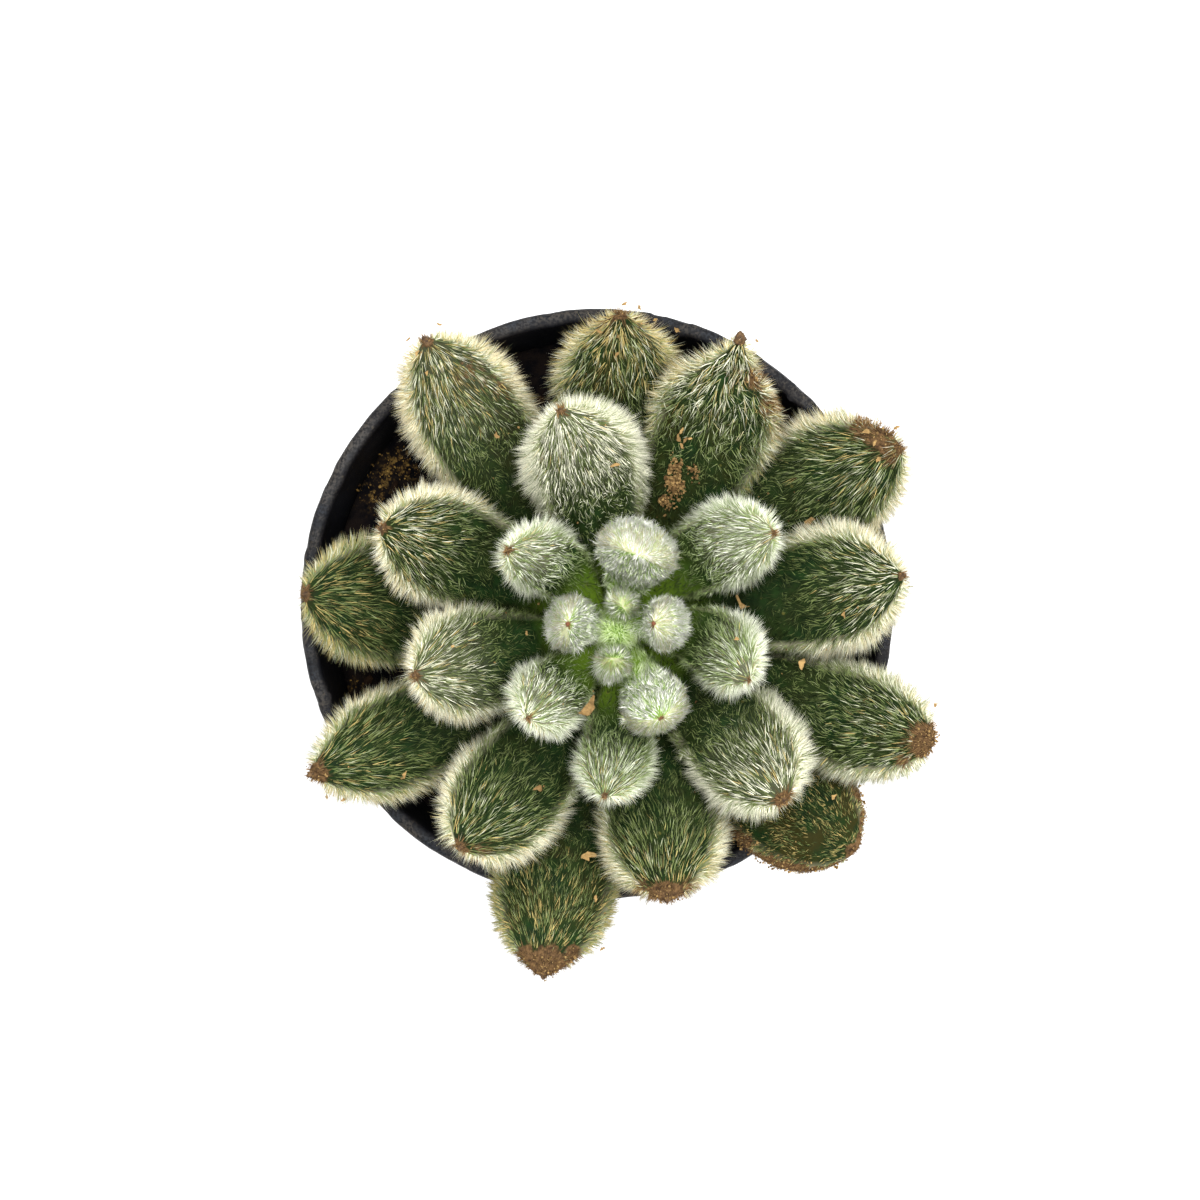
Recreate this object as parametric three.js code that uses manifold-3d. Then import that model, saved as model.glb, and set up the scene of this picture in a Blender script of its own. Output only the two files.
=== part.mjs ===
// A hairy rosette echeveria in a small round nursery pot, in millimetres, +Z up.
// The origin is the centre of the pot's flat underside. Seen from above, +X is right and +Y is up.
import * as THREE from "three";
import { mergeVertices } from "three/addons/utils/BufferGeometryUtils.js";
import Module from "manifold-3d";

const wasm = await Module();
wasm.setup();

// Driving dimensions of the pot
const POT_HEIGHT = 58;
const POT_RIM_RADIUS = 32.5;
const POT_BASE_RADIUS = 24;
const POT_BASE_CORNER = 1.2;
const POT_WALL = 1;
const COLLAR_WALL = 0.8;
const POT_FLOOR = 1.4;
const POT_SIDES = 64;
const RIM_WIDTH = 1.6;
const RIM_ROUND = 0.5;
const RIM_BAND_HEIGHT = 1.9;
const COLLAR_HEIGHT = 9;
const COLLAR_STEP = 0.9;
const COLLAR_TAPER = 0.3;

// Six drainage slots, cut from the underside through the foot of the wall
const SLOT_COUNT = 6;
const SLOT_WIDTH = 4;
const SLOT_INNER_RADIUS = 15;
const SLOT_HEIGHT = 3.6;
const SLOT_OVERSHOOT = 4;

// Driving dimensions of the soil
const SOIL_DEPTH_BELOW_RIM = 8;
const SOIL_GAP = 0.4;
const SOIL_SIDES = 44;
const SOIL_RINGS = 9;
const SOIL_MOUND = 0.42;
const SOIL_CRUMB = 0.28;

// Driving dimensions of the stem, which stands a little off the pot's axis
const STEM_X = 2;
const STEM_Y = -3;
const STEM_RADIUS = 4;
const STEM_TOP_RADIUS = 1.1;
const STEM_ROOT_DEPTH = 12;
const STEM_ROOT_TIP = 1.5;
const STEM_TAPER_POWER = 1.15;
const STEM_SIDES = 18;
const STEM_STEPS = 8;
const LEAF_GAP = 0.3;

// The rosette: leaf feet climb the stem in a golden-angle spiral, and leaf tips lie on a low dome
const GOLDEN_ANGLE = 137.508;
const FIRST_AZIMUTH = 93;
const LOWEST_FOOT = 53.2;
const HIGHEST_FOOT = 71.5;
const DOME_TOP = 80.5;
const DOME_DROP = 14;
const DOME_REACH = 36;
const DOME_POWER = 1.6;

// Shape of one leaf, as shares of its length, width or thickness
const LEAF_AROUND = 16;
const LEAF_ALONG = 15;
const LEAF_END_RINGS = 0.5;
const LEAF_FOOT_WIDTH = 0.37;
const LEAF_WIDEST_AT = 0.68;
const LEAF_END_POWER = 2.3;
const LEAF_THICKNESS = 0.38;
const YOUNG_THICKNESS = 0.95;
const LEAF_FOOT_THICKNESS = 0.5;
const LEAF_THINNING_AT = 0.55;
const LEAF_THINNING_POWER = 2.6;
const LEAF_UPPER_SHARE = 0.42;
const LEAF_FOOT_ROUNDING = 0.04;
const LEAF_SWELL_POWER = 1.4;
const LEAF_SECTION_POWER = 0.9;

// Height of a leaf's bend, as a share of the way from its foot up to its tip
const OLD_LEAF_BEND = 0.38;
const YOUNG_LEAF_BEND = 0.18;

// Every leaf from the oldest to the youngest. azimuth and reach place its tip about the stem, in degrees
// and mm, and width is its widest. Where they differ from most leaves: bow turns its middle sideways, in
// degrees, elbow is how far out it bends, as a share of its reach, sink lowers its tip, and point is how
// sharp its end is.
const USUAL_LEAF = { bow: 0, elbow: 0.6, sink: 0, point: 0.72 };
const LEAVES = [
  { azimuth: 89, reach: 34.5, width: 13, bow: 1, sink: 2.2, point: 0.85 },
  { azimuth: 318, reach: 35, width: 13, bow: -6, sink: 2.2 },
  { azimuth: 173, reach: 34, width: 13, bow: -1, sink: 2 },
  { azimuth: 33, reach: 36.5, width: 13.5, bow: 6, sink: 1.2 },
  { azimuth: 258, reach: 37.5, width: 12.5, bow: -4, sink: 0.5, point: 0.9 },
  { azimuth: 123, reach: 37.5, width: 12.5, bow: 3 },
  { azimuth: 341, reach: 36, width: 11.5, bow: -5, sink: -3 },
  { azimuth: 205, reach: 36.5, width: 11, bow: 4, sink: -0.5, point: 0.95 },
  { azimuth: 67, reach: 34.5, width: 13, bow: -6, sink: -2, point: 1.25 },
  { azimuth: 281, reach: 29, width: 13, bow: 6, sink: 0.3, point: 0.85 },
  { azimuth: 156, reach: 27.5, width: 11.5, bow: -6 },
  { azimuth: 11, reach: 32, width: 13, sink: -0.3, point: 0.85 },
  { azimuth: 234, reach: 28.5, width: 12, bow: 6, sink: -1.4 },
  { azimuth: 104, reach: 24.5, width: 12, bow: -9 },
  { azimuth: 315, reach: 25.5, width: 11.5, bow: 6, sink: -0.4 },
  { azimuth: 192, reach: 22, width: 11 },
  { azimuth: 32, reach: 20, width: 8.5, bow: 16 },
  { azimuth: 266, reach: 17.5, width: 7.5, bow: 10, sink: 0.5 },
  { azimuth: 143, reach: 14.5, width: 7, bow: -22 },
  { azimuth: 340, reach: 15, width: 7.5, bow: 25, elbow: 0.7 },
  { azimuth: 224, reach: 13, width: 7.5 },
  { azimuth: 74, reach: 8.5, width: 7, bow: 2, elbow: 1.35 },
  { azimuth: 298, reach: 10.2, width: 6.2, elbow: 0.85 },
  { azimuth: 170, reach: 5.1, width: 5.6, bow: -4, elbow: 1.1 },
  { azimuth: 14, reach: 4, width: 5, bow: -8, elbow: 2.4 },
  { azimuth: 265, reach: 2.7, width: 3.4, bow: -4, elbow: 2.2, sink: 2.5 },
  { azimuth: 72, reach: 2.7, width: 2.6, bow: 10, elbow: 2, sink: 3.5 },
];

const UP = new THREE.Vector3(0, 0, 1);
const degrees = THREE.MathUtils.degToRad;
const soilHeight = POT_HEIGHT - SOIL_DEPTH_BELOW_RIM;

function material(color, roughness) {
  return new THREE.MeshStandardMaterial({ color, roughness, metalness: 0 });
}

function namedMesh(name, geometry, look) {
  const mesh = new THREE.Mesh(geometry, look);
  mesh.name = name;
  return mesh;
}

// A closed geometry as a solid that can be cut and joined
function toSolid(geometry) {
  const bare = geometry.clone();
  bare.deleteAttribute("normal");
  bare.deleteAttribute("uv");
  const merged = mergeVertices(bare, 1e-3);
  return new wasm.Manifold(
    new wasm.Mesh({
      numProp: 3,
      vertProperties: new Float32Array(merged.attributes.position.array),
      triVerts: new Uint32Array(merged.index.array),
    }),
  );
}

function toGeometry(solid) {
  const mesh = solid.getMesh();
  const geometry = new THREE.BufferGeometry();
  const positions = new Float32Array(mesh.numVert * 3);
  for (let i = 0; i < mesh.numVert; i++) {
    const start = i * mesh.numProp;
    positions.set(mesh.vertProperties.subarray(start, start + 3), i * 3);
  }
  geometry.setAttribute("position", new THREE.BufferAttribute(positions, 3));
  geometry.setIndex(new THREE.BufferAttribute(mesh.triVerts, 1));
  geometry.computeVertexNormals();
  return geometry;
}

// A profile of [radius, height] points turned about +Z
function turned(profile, sides) {
  const points = profile.map(([radius, height]) => new THREE.Vector2(radius, height));
  return new THREE.LatheGeometry(points, sides).rotateX(Math.PI / 2);
}

// Inner radius of the pot's tapered wall at a height
function potInnerRadius(height) {
  const share = (height - POT_FLOOR) / (POT_HEIGHT - POT_FLOOR);
  return THREE.MathUtils.lerp(POT_BASE_RADIUS - POT_WALL, POT_RIM_RADIUS - RIM_WIDTH, share);
}

// The pot's tapered shell, with a collar under a narrow rim band
function potShell() {
  const collarFoot = POT_HEIGHT - COLLAR_HEIGHT;
  const collarRadius = POT_RIM_RADIUS - RIM_ROUND;
  return toSolid(
    turned(
      [
        [0, 0],
        [POT_BASE_RADIUS - POT_BASE_CORNER, 0],
        [POT_BASE_RADIUS - POT_BASE_CORNER * 0.3, POT_BASE_CORNER * 0.3],
        [POT_BASE_RADIUS, POT_BASE_CORNER],
        [potInnerRadius(collarFoot) + COLLAR_WALL, collarFoot],
        [collarRadius - COLLAR_TAPER, collarFoot + COLLAR_STEP],
        [collarRadius, POT_HEIGHT - RIM_BAND_HEIGHT - RIM_ROUND],
        [POT_RIM_RADIUS, POT_HEIGHT - RIM_BAND_HEIGHT],
        [POT_RIM_RADIUS, POT_HEIGHT - RIM_ROUND],
        [POT_RIM_RADIUS - RIM_ROUND * 0.4, POT_HEIGHT - RIM_ROUND * 0.2],
        [POT_RIM_RADIUS - RIM_ROUND, POT_HEIGHT],
        [POT_RIM_RADIUS - RIM_WIDTH + RIM_ROUND * 0.5, POT_HEIGHT],
        [potInnerRadius(POT_HEIGHT - RIM_ROUND), POT_HEIGHT - RIM_ROUND],
        [potInnerRadius(collarFoot), collarFoot],
        [POT_BASE_RADIUS - POT_WALL, POT_FLOOR],
        [0, POT_FLOOR],
      ],
      POT_SIDES,
    ),
  );
}

// One drainage slot along +X: round at its inner end, open through the wall
function drainageSlot() {
  const halfWidth = SLOT_WIDTH / 2;
  const outerEnd = POT_BASE_RADIUS + SLOT_OVERSHOOT;
  const outline = new THREE.Shape();
  outline.absarc(SLOT_INNER_RADIUS, 0, halfWidth, Math.PI / 2, (3 * Math.PI) / 2, false);
  outline.lineTo(outerEnd, -halfWidth);
  outline.lineTo(outerEnd, halfWidth);
  outline.closePath();
  const depth = SLOT_HEIGHT + SLOT_OVERSHOOT;
  const slot = new THREE.ExtrudeGeometry(outline, { depth, bevelEnabled: false, curveSegments: 6 });
  return slot.translate(0, 0, -SLOT_OVERSHOOT);
}

function potGeometry() {
  let pot = potShell();
  for (let i = 0; i < SLOT_COUNT; i++) {
    const slot = drainageSlot().rotateZ((i * 2 * Math.PI) / SLOT_COUNT);
    pot = pot.subtract(toSolid(slot));
  }
  return toGeometry(pot);
}

// Low mounds and crumbs of the soil's top, as a height over its level
function soilRelief(x, y) {
  const mound = Math.sin(0.21 * x + 0.9) * Math.cos(0.17 * y - 0.4);
  const crumb = Math.sin(0.83 * x + 1.7 * Math.sin(0.31 * y)) * Math.sin(0.71 * y + 0.6);
  return SOIL_MOUND * mound + SOIL_CRUMB * crumb;
}

// A full column of soil with a plain hole for the root of the stem
function soilGeometry() {
  const foot = POT_FLOOR + SOIL_GAP;
  const topRadius = potInnerRadius(soilHeight) - SOIL_GAP;
  const profile = [
    [0, foot],
    [potInnerRadius(foot) - SOIL_GAP, foot],
  ];
  for (let ring = SOIL_RINGS; ring >= 0; ring--) {
    profile.push([(topRadius * ring) / SOIL_RINGS, soilHeight]);
  }
  const column = turned(profile, SOIL_SIDES);
  const { position } = column.attributes;
  for (let i = 0; i < position.count; i++) {
    if (position.getZ(i) > foot + 1) {
      position.setZ(i, soilHeight + soilRelief(position.getX(i), position.getY(i)));
    }
  }
  const holeRadius = STEM_RADIUS + SOIL_GAP;
  const holeDepth = STEM_ROOT_DEPTH + SOIL_GAP;
  const hole = new THREE.CylinderGeometry(holeRadius, holeRadius, 2 * holeDepth, STEM_SIDES)
    .rotateX(Math.PI / 2)
    .translate(STEM_X, STEM_Y, soilHeight);
  return toGeometry(toSolid(column).subtract(toSolid(hole)));
}

// The stem's radius at a height: even up to the soil, then tapering to the growing point
function stemRadius(height) {
  const share = THREE.MathUtils.clamp((height - soilHeight) / (HIGHEST_FOOT - soilHeight), 0, 1);
  return THREE.MathUtils.lerp(STEM_RADIUS, STEM_TOP_RADIUS, share ** STEM_TAPER_POWER);
}

function stemGeometry() {
  const foot = soilHeight - STEM_ROOT_DEPTH;
  const profile = [
    [0, foot],
    [STEM_RADIUS - STEM_ROOT_TIP, foot],
    [STEM_RADIUS, foot + STEM_ROOT_TIP],
  ];
  for (let step = 0; step <= STEM_STEPS; step++) {
    const height = THREE.MathUtils.lerp(soilHeight, HIGHEST_FOOT, step / STEM_STEPS);
    profile.push([stemRadius(height), height]);
  }
  profile.push([0, HIGHEST_FOOT + STEM_TOP_RADIUS * 0.6]);
  return turned(profile, STEM_SIDES);
}

// A point about the stem's axis, from an azimuth in degrees, a distance and a height
function aboutStem(azimuth, distance, height) {
  return new THREE.Vector3(distance, 0, height).applyAxisAngle(UP, degrees(azimuth));
}

// Half width along the leaf: a narrow foot, widest past the middle, and a rounded or sharper end
function widthShare(along, point) {
  const foot = Math.sqrt(Math.min(1, along / LEAF_FOOT_ROUNDING));
  if (along < LEAF_WIDEST_AT) {
    const swell = Math.sin(((along / LEAF_WIDEST_AT) * Math.PI) / 2) ** LEAF_SWELL_POWER;
    return foot * THREE.MathUtils.lerp(LEAF_FOOT_WIDTH, 1, swell);
  }
  const toTip = (along - LEAF_WIDEST_AT) / (1 - LEAF_WIDEST_AT);
  return (1 - toTip ** LEAF_END_POWER) ** point;
}

// Thickness along the leaf: fleshy up to close behind the tip
function thicknessShare(along) {
  const foot = Math.sqrt(Math.min(1, along / LEAF_FOOT_ROUNDING));
  const swell = Math.sin((Math.min(1, along / LEAF_THINNING_AT) * Math.PI) / 2);
  const toTip = Math.max(0, (along - LEAF_THINNING_AT) / (1 - LEAF_THINNING_AT));
  return foot * THREE.MathUtils.lerp(LEAF_FOOT_THICKNESS, 1, swell) * (1 - toTip ** LEAF_THINNING_POWER);
}

// One leaf with its foot at the origin: a sphere's grid of points laid round a curved midrib
function leafGeometry(bend, tip, width, thickness, point) {
  const foot = new THREE.Vector3();
  const midrib = new THREE.QuadraticBezierCurve3(foot, bend, tip);
  const geometry = new THREE.SphereGeometry(1, LEAF_AROUND, LEAF_ALONG);
  const { position, uv } = geometry.attributes;
  const facing = tip.clone().cross(UP.clone().cross(tip)).normalize();
  for (let i = 0; i < position.count; i++) {
    const step = 1 - uv.getY(i);
    const eased = (1 - Math.cos(Math.PI * step)) / 2;
    const along = THREE.MathUtils.lerp(step, eased, LEAF_END_RINGS);
    const around = -uv.getX(i) * 2 * Math.PI;
    const forward = midrib.getTangent(along);
    const side = facing.clone().cross(forward).normalize();
    const upward = forward.clone().cross(side);
    const lift = Math.sin(around);
    const share = lift > 0 ? LEAF_UPPER_SHARE : 1 - LEAF_UPPER_SHARE;
    const depth = Math.sign(lift) * Math.abs(lift) ** LEAF_SECTION_POWER * share * thickness;
    const placed = midrib
      .getPoint(along)
      .addScaledVector(side, (Math.cos(around) * widthShare(along, point) * width) / 2)
      .addScaledVector(upward, depth * thicknessShare(along));
    position.setXYZ(i, placed.x, placed.y, placed.z);
  }
  return geometry;
}

// A leaf where it grows: its foot by the spiral, its tip on the dome, and its bend between them
function leafMesh(row, index) {
  const leaf = { ...USUAL_LEAF, ...row };
  const youth = index / (LEAVES.length - 1);
  const footHeight = THREE.MathUtils.lerp(LOWEST_FOOT, HIGHEST_FOOT, youth);
  const footDistance = stemRadius(footHeight) + LEAF_GAP;
  const tipHeight = DOME_TOP - DOME_DROP * (leaf.reach / DOME_REACH) ** DOME_POWER - leaf.sink;
  const rise = THREE.MathUtils.lerp(OLD_LEAF_BEND, YOUNG_LEAF_BEND, youth);
  const bendDistance = THREE.MathUtils.lerp(footDistance, leaf.reach, leaf.elbow);
  const bendHeight = THREE.MathUtils.lerp(footHeight, tipHeight, rise);

  const foot = aboutStem(FIRST_AZIMUTH - GOLDEN_ANGLE * index, footDistance, footHeight);
  const heading = degrees(leaf.azimuth);
  const fromFoot = (point) => point.sub(foot).applyAxisAngle(UP, -heading);
  const bend = fromFoot(aboutStem(leaf.azimuth + leaf.bow, bendDistance, bendHeight));
  const tip = fromFoot(aboutStem(leaf.azimuth, leaf.reach, tipHeight));
  const thickness = leaf.width * THREE.MathUtils.lerp(LEAF_THICKNESS, YOUNG_THICKNESS, youth ** 3);

  const name = "leaf_" + String(index + 1).padStart(2, "0");
  const geometry = leafGeometry(bend, tip, leaf.width, thickness, leaf.point);
  const mesh = namedMesh(name, geometry, material(0x4d6b48, 0.75));
  mesh.position.copy(foot);
  mesh.rotation.z = heading;
  return mesh;
}

// The plant's group stands on the stem's axis, beside the pot and its soil
const plant = new THREE.Group();
plant.position.set(STEM_X, STEM_Y, 0);
plant.add(namedMesh("stem", stemGeometry(), material(0x7f9a4a, 0.7)));
plant.add(...LEAVES.map(leafMesh));

const group = new THREE.Group();
group.add(namedMesh("pot", potGeometry(), material(0x17181c, 0.6)));
group.add(namedMesh("soil", soilGeometry(), material(0x2b1f18, 0.95)));
group.add(plant);

export default group;
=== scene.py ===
"""A hairy echeveria in a small nursery pot: skin, fur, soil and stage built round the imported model."""
import math

import bmesh
import bpy
import numpy as np
from bpy.props import FloatProperty, FloatVectorProperty, IntProperty, PointerProperty
from mathutils import Matrix, Vector, noise
from mathutils.bvhtree import BVHTree
from mathutils.kdtree import KDTree


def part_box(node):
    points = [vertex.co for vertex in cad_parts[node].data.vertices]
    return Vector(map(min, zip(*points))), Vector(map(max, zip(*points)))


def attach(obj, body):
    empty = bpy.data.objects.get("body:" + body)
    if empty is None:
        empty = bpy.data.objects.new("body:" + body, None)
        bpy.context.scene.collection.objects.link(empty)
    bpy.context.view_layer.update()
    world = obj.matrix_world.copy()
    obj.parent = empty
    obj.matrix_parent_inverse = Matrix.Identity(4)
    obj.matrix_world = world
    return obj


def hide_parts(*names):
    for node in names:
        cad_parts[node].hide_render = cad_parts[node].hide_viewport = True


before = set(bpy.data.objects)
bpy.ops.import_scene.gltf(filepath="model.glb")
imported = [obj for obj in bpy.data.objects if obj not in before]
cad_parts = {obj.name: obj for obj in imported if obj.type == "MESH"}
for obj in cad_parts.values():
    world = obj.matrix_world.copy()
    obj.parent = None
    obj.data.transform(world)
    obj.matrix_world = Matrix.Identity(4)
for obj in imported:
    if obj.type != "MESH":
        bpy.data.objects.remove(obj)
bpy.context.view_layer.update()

bl_info = {
    "name": "Hairy Echeveria",
    "version": (1, 0, 0),
    "blender": (4, 5, 0),
    "location": "3D View > Sidebar > Echeveria",
    "description": "Dresses the packed echeveria: fur, leaf skin, potting soil, pot plastic and stage",
    "category": "Object",
}

BODY = "root"
MM = 0.001
WELD = 1e-6

# Where the stem stands, how high the soil and the middle of the rosette are, where a line that looks for the
# soil starts, and the number of drainage slots
STEM_AXIS = Vector((2 * MM, -3 * MM, 0))
SOIL_LEVEL = 50 * MM
LEAF_HEIGHT = 70 * MM
OVERHEAD = 100 * MM
DOWN = Vector((0, 0, -1))
SLOTS = 6

# How many points make one row of a CAD leaf, and for a fine one the points in a row and the number of rows
ROW_POINTS = 16
FINE_ROWS = {"old": (36, 40), "grown": (36, 40), "young": (28, 32)}
LEAF_COUNT = 27
LAST_OLD, LAST_GROWN, LAST_YOUNG = 8, 16, 21

# Hairs to the square millimetre
FACE_HAIRS, UNDERSIDE_HAIRS, FRINGE_HAIRS, BUD_HAIRS, STEM_HAIRS = 13.5, 3.0, 35.0, 46.0, 60.0

# The steps to which a hair's paleness, its gold and its dryness are rounded
TINTS, GOLDS, DRY_STEPS = 8, 3, 3

# One hair in this many leads a tuft, and how many points a bent and a straight hair have
TUFT = 8
BENT_POINTS, STRAIGHT_POINTS = 7, 4

# Where each row of random draws starts. The fur has one for each leaf, counted from here.
POT_SEED, SOIL_SEED, DEBRIS_SEED, STEM_SEED, FUR_SEED = 11, 23, 41, 6900, 7000

# What sets where the swirls in the fur lie. Without it they would lie elsewhere at each run.
SWIRL_SEED = 7

# The photograph's frame: it looks straight down from half a metre above the rim
PHOTO_SIZE = 1200
PIXEL = 0.110 * MM
CAMERA_PLACE = Vector((0.33 * MM, 0.44 * MM, 558 * MM))
CAMERA_LENS = 136.6
SENSOR = 36.0

# What sets one leaf apart, by its number. Lengths are in mm: cap is the radius of its dried end, tip the size
# of its dried point, drawn_out how far its end is stretched and part how wide its hairs part at its end. low
# and high are how pale its upper hairs are at its foot and at its end, frost how thickly pale hairs cover its
# outer third and pale_from where along it the upper hairs start to turn pale. fringe scales the hairs on its
# margins, trim is how wide they spread and tan how brownish they are. gold is how many of its outer hairs are
# golden, gilt where along it they begin, edge_dry how brown its margin is and olive how far its skin has
# turned. heart is how green its middle is, tousle how far its hairs stray and upright how steeply they stand.
# neck is how much its end is drawn in, broad how much its outer half is widened and sere how pale its dried
# hairs are. length, width and density scale its fur.
USUAL_LOOK = dict(cap=0.8, tip=1.0, drawn_out=0.0, part=0.0, low=0.18, high=0.46, frost=0.0, fringe=1.0,
                  trim=1.0, tan=0.3, gold=0.1, gilt=0.6, edge_dry=0.0, olive=0.3, heart=0.0, tousle=1.0,
                  neck=0.0, broad=0.0, length=1.0, width=1.0, density=1.0, pale_from=0.3, upright=1.0,
                  sere=0.0)
BUD_LOOK = dict(gold=0.0, olive=0.0)
LEAF_LOOKS = {
    1: dict(cap=1.0, gold=0.65, gilt=0.65, length=1.15, tip=0.5, tousle=1.5, olive=0.8, low=0.22, high=0.54,
            fringe=0.6, tan=0.8),
    2: dict(cap=0.0, sere=0.7, edge_dry=0.95, gold=0.3, gilt=0.0, tousle=2.0, length=0.45, tip=0.0,
            width=0.8, olive=1.8, low=0.17, high=0.3, fringe=0.42, density=1.7, tan=0.9, broad=0.08,
            drawn_out=0.3),
    3: dict(cap=1.0, gold=0.3, olive=0.6, low=0.13, high=0.36, fringe=0.6, tan=0.6),
    4: dict(length=1.15, tip=0.5, olive=0.4, high=0.52, fringe=0.9, tan=0.5, drawn_out=0.4),
    5: dict(cap=2.9, gilt=0.5, gold=0.25, olive=0.8, tip=0.9, width=0.85, high=0.42, fringe=0.45,
            length=0.75, density=1.2, tan=1.0, drawn_out=0.7, broad=0.05),
    6: dict(cap=0.9, gold=0.3, tip=1.3, olive=0.6, high=0.62, frost=0.15, trim=1.3, tan=0.5, drawn_out=0.2),
    7: dict(cap=2.7, sere=0.6, gold=0.08, length=0.95, tip=0.0, olive=0.4, low=0.22, high=0.54, fringe=0.8,
            trim=1.2, drawn_out=0.3),
    8: dict(cap=1.8, gold=0.2, tip=0.9, high=0.44, fringe=0.8, neck=0.15, tan=0.5),
    9: dict(cap=0.9, gold=0.3, length=1.15, tip=1.5, tousle=2.0, olive=0.8, high=0.66, neck=0.45,
            fringe=0.65, tan=0.6),
    10: dict(cap=2.3, gold=0.2, tip=0.8, olive=0.4, fringe=0.85, trim=1.2, tan=0.4, drawn_out=0.4),
    11: dict(cap=0.7, tip=0.8, gold=0.24, low=0.17, high=0.6, olive=0.5, tan=0.35),
    12: dict(cap=0.6, tip=0.9, low=0.11, high=0.64, trim=1.35, drawn_out=-0.5, pale_from=0.42),
    13: dict(cap=0.9, tip=0.8, gold=0.15, high=0.52),
    14: dict(cap=0.5, tip=0.8, gold=0.05, density=1.3, low=0.44, high=0.86, frost=0.4, fringe=1.2, trim=1.5,
             tan=0.1),
    15: dict(cap=1.1, density=1.2, low=0.22, high=0.68, frost=0.25, fringe=1.2, trim=1.2, tan=0.2),
    16: dict(cap=0.7, tip=0.65, low=0.2, high=0.68, frost=0.35),
    17: dict(cap=0.4, gold=0.03, tip=0.4, low=0.15, high=1.12, frost=0.92, fringe=1.2, density=1.2,
             tan=0.1),
    18: dict(cap=0.4, tip=0.5, low=0.24, high=0.7, frost=0.35, fringe=0.75, density=1.2, tan=0.1),
    19: dict(cap=0.5, tip=0.5, low=0.34, high=1.0, frost=0.8, density=1.2, tan=0.2),
    20: dict(cap=0.4, gold=0.05, tip=0.4, high=0.72, frost=0.55, density=1.2, tan=0.15),
    21: dict(cap=0.4, tip=0.4, low=0.48, high=0.95, frost=0.6, density=1.2, tan=0.05),
    22: dict(cap=0.0, tip=0.0, low=0.7, high=1.3, part=1.3, heart=0.1, broad=0.2),
    23: dict(cap=0.3, tip=0.3, low=0.5, high=1.15, heart=0.1, broad=0.1),
    24: dict(cap=0.3, tip=0.6, low=0.9, high=1.28, heart=0.12),
    25: dict(cap=0.3, tip=0.55, low=0.95, high=1.3, heart=0.15),
    26: dict(cap=0.0, tip=0.0, low=0.5, high=0.92, heart=0.5, upright=2.0),
    27: dict(cap=0.0, tip=0.0, low=0.5, high=0.9, heart=0.35, upright=2.0),
}
FRESHNESS = {"old": 0.0, "grown": 0.0, "young": 0.35, "bud": 1.0}

# Brown patches away from the tips, by leaf: the patch's place in the photograph, its radius in mm and how
# brown it is
SCORCHES = {
    1: ((640, 325, 1.5, 0.4), (605, 325, 1.5, 0.4)),
    4: ((862, 428, 1.6, 0.7), (882, 437, 1.8, 0.8), (893, 458, 1.0, 0.6)),
    5: ((526, 954, 1.1, 0.8), (572, 954, 1.2, 0.8), (548, 964, 2.2, 0.9)),
    6: ((470, 372, 2.4, 0.4), (500, 388, 1.8, 0.4)),
    7: ((905, 760, 1.0, 0.6),),
    9: ((735, 372, 1.6, 0.35), (755, 378, 1.5, 0.6), (770, 402, 1.8, 0.6), (776, 425, 1.4, 0.4)),
    10: ((645, 888, 1.2, 0.5), (690, 886, 1.2, 0.5)),
    13: ((478, 850, 1.0, 0.5),),
}

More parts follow.
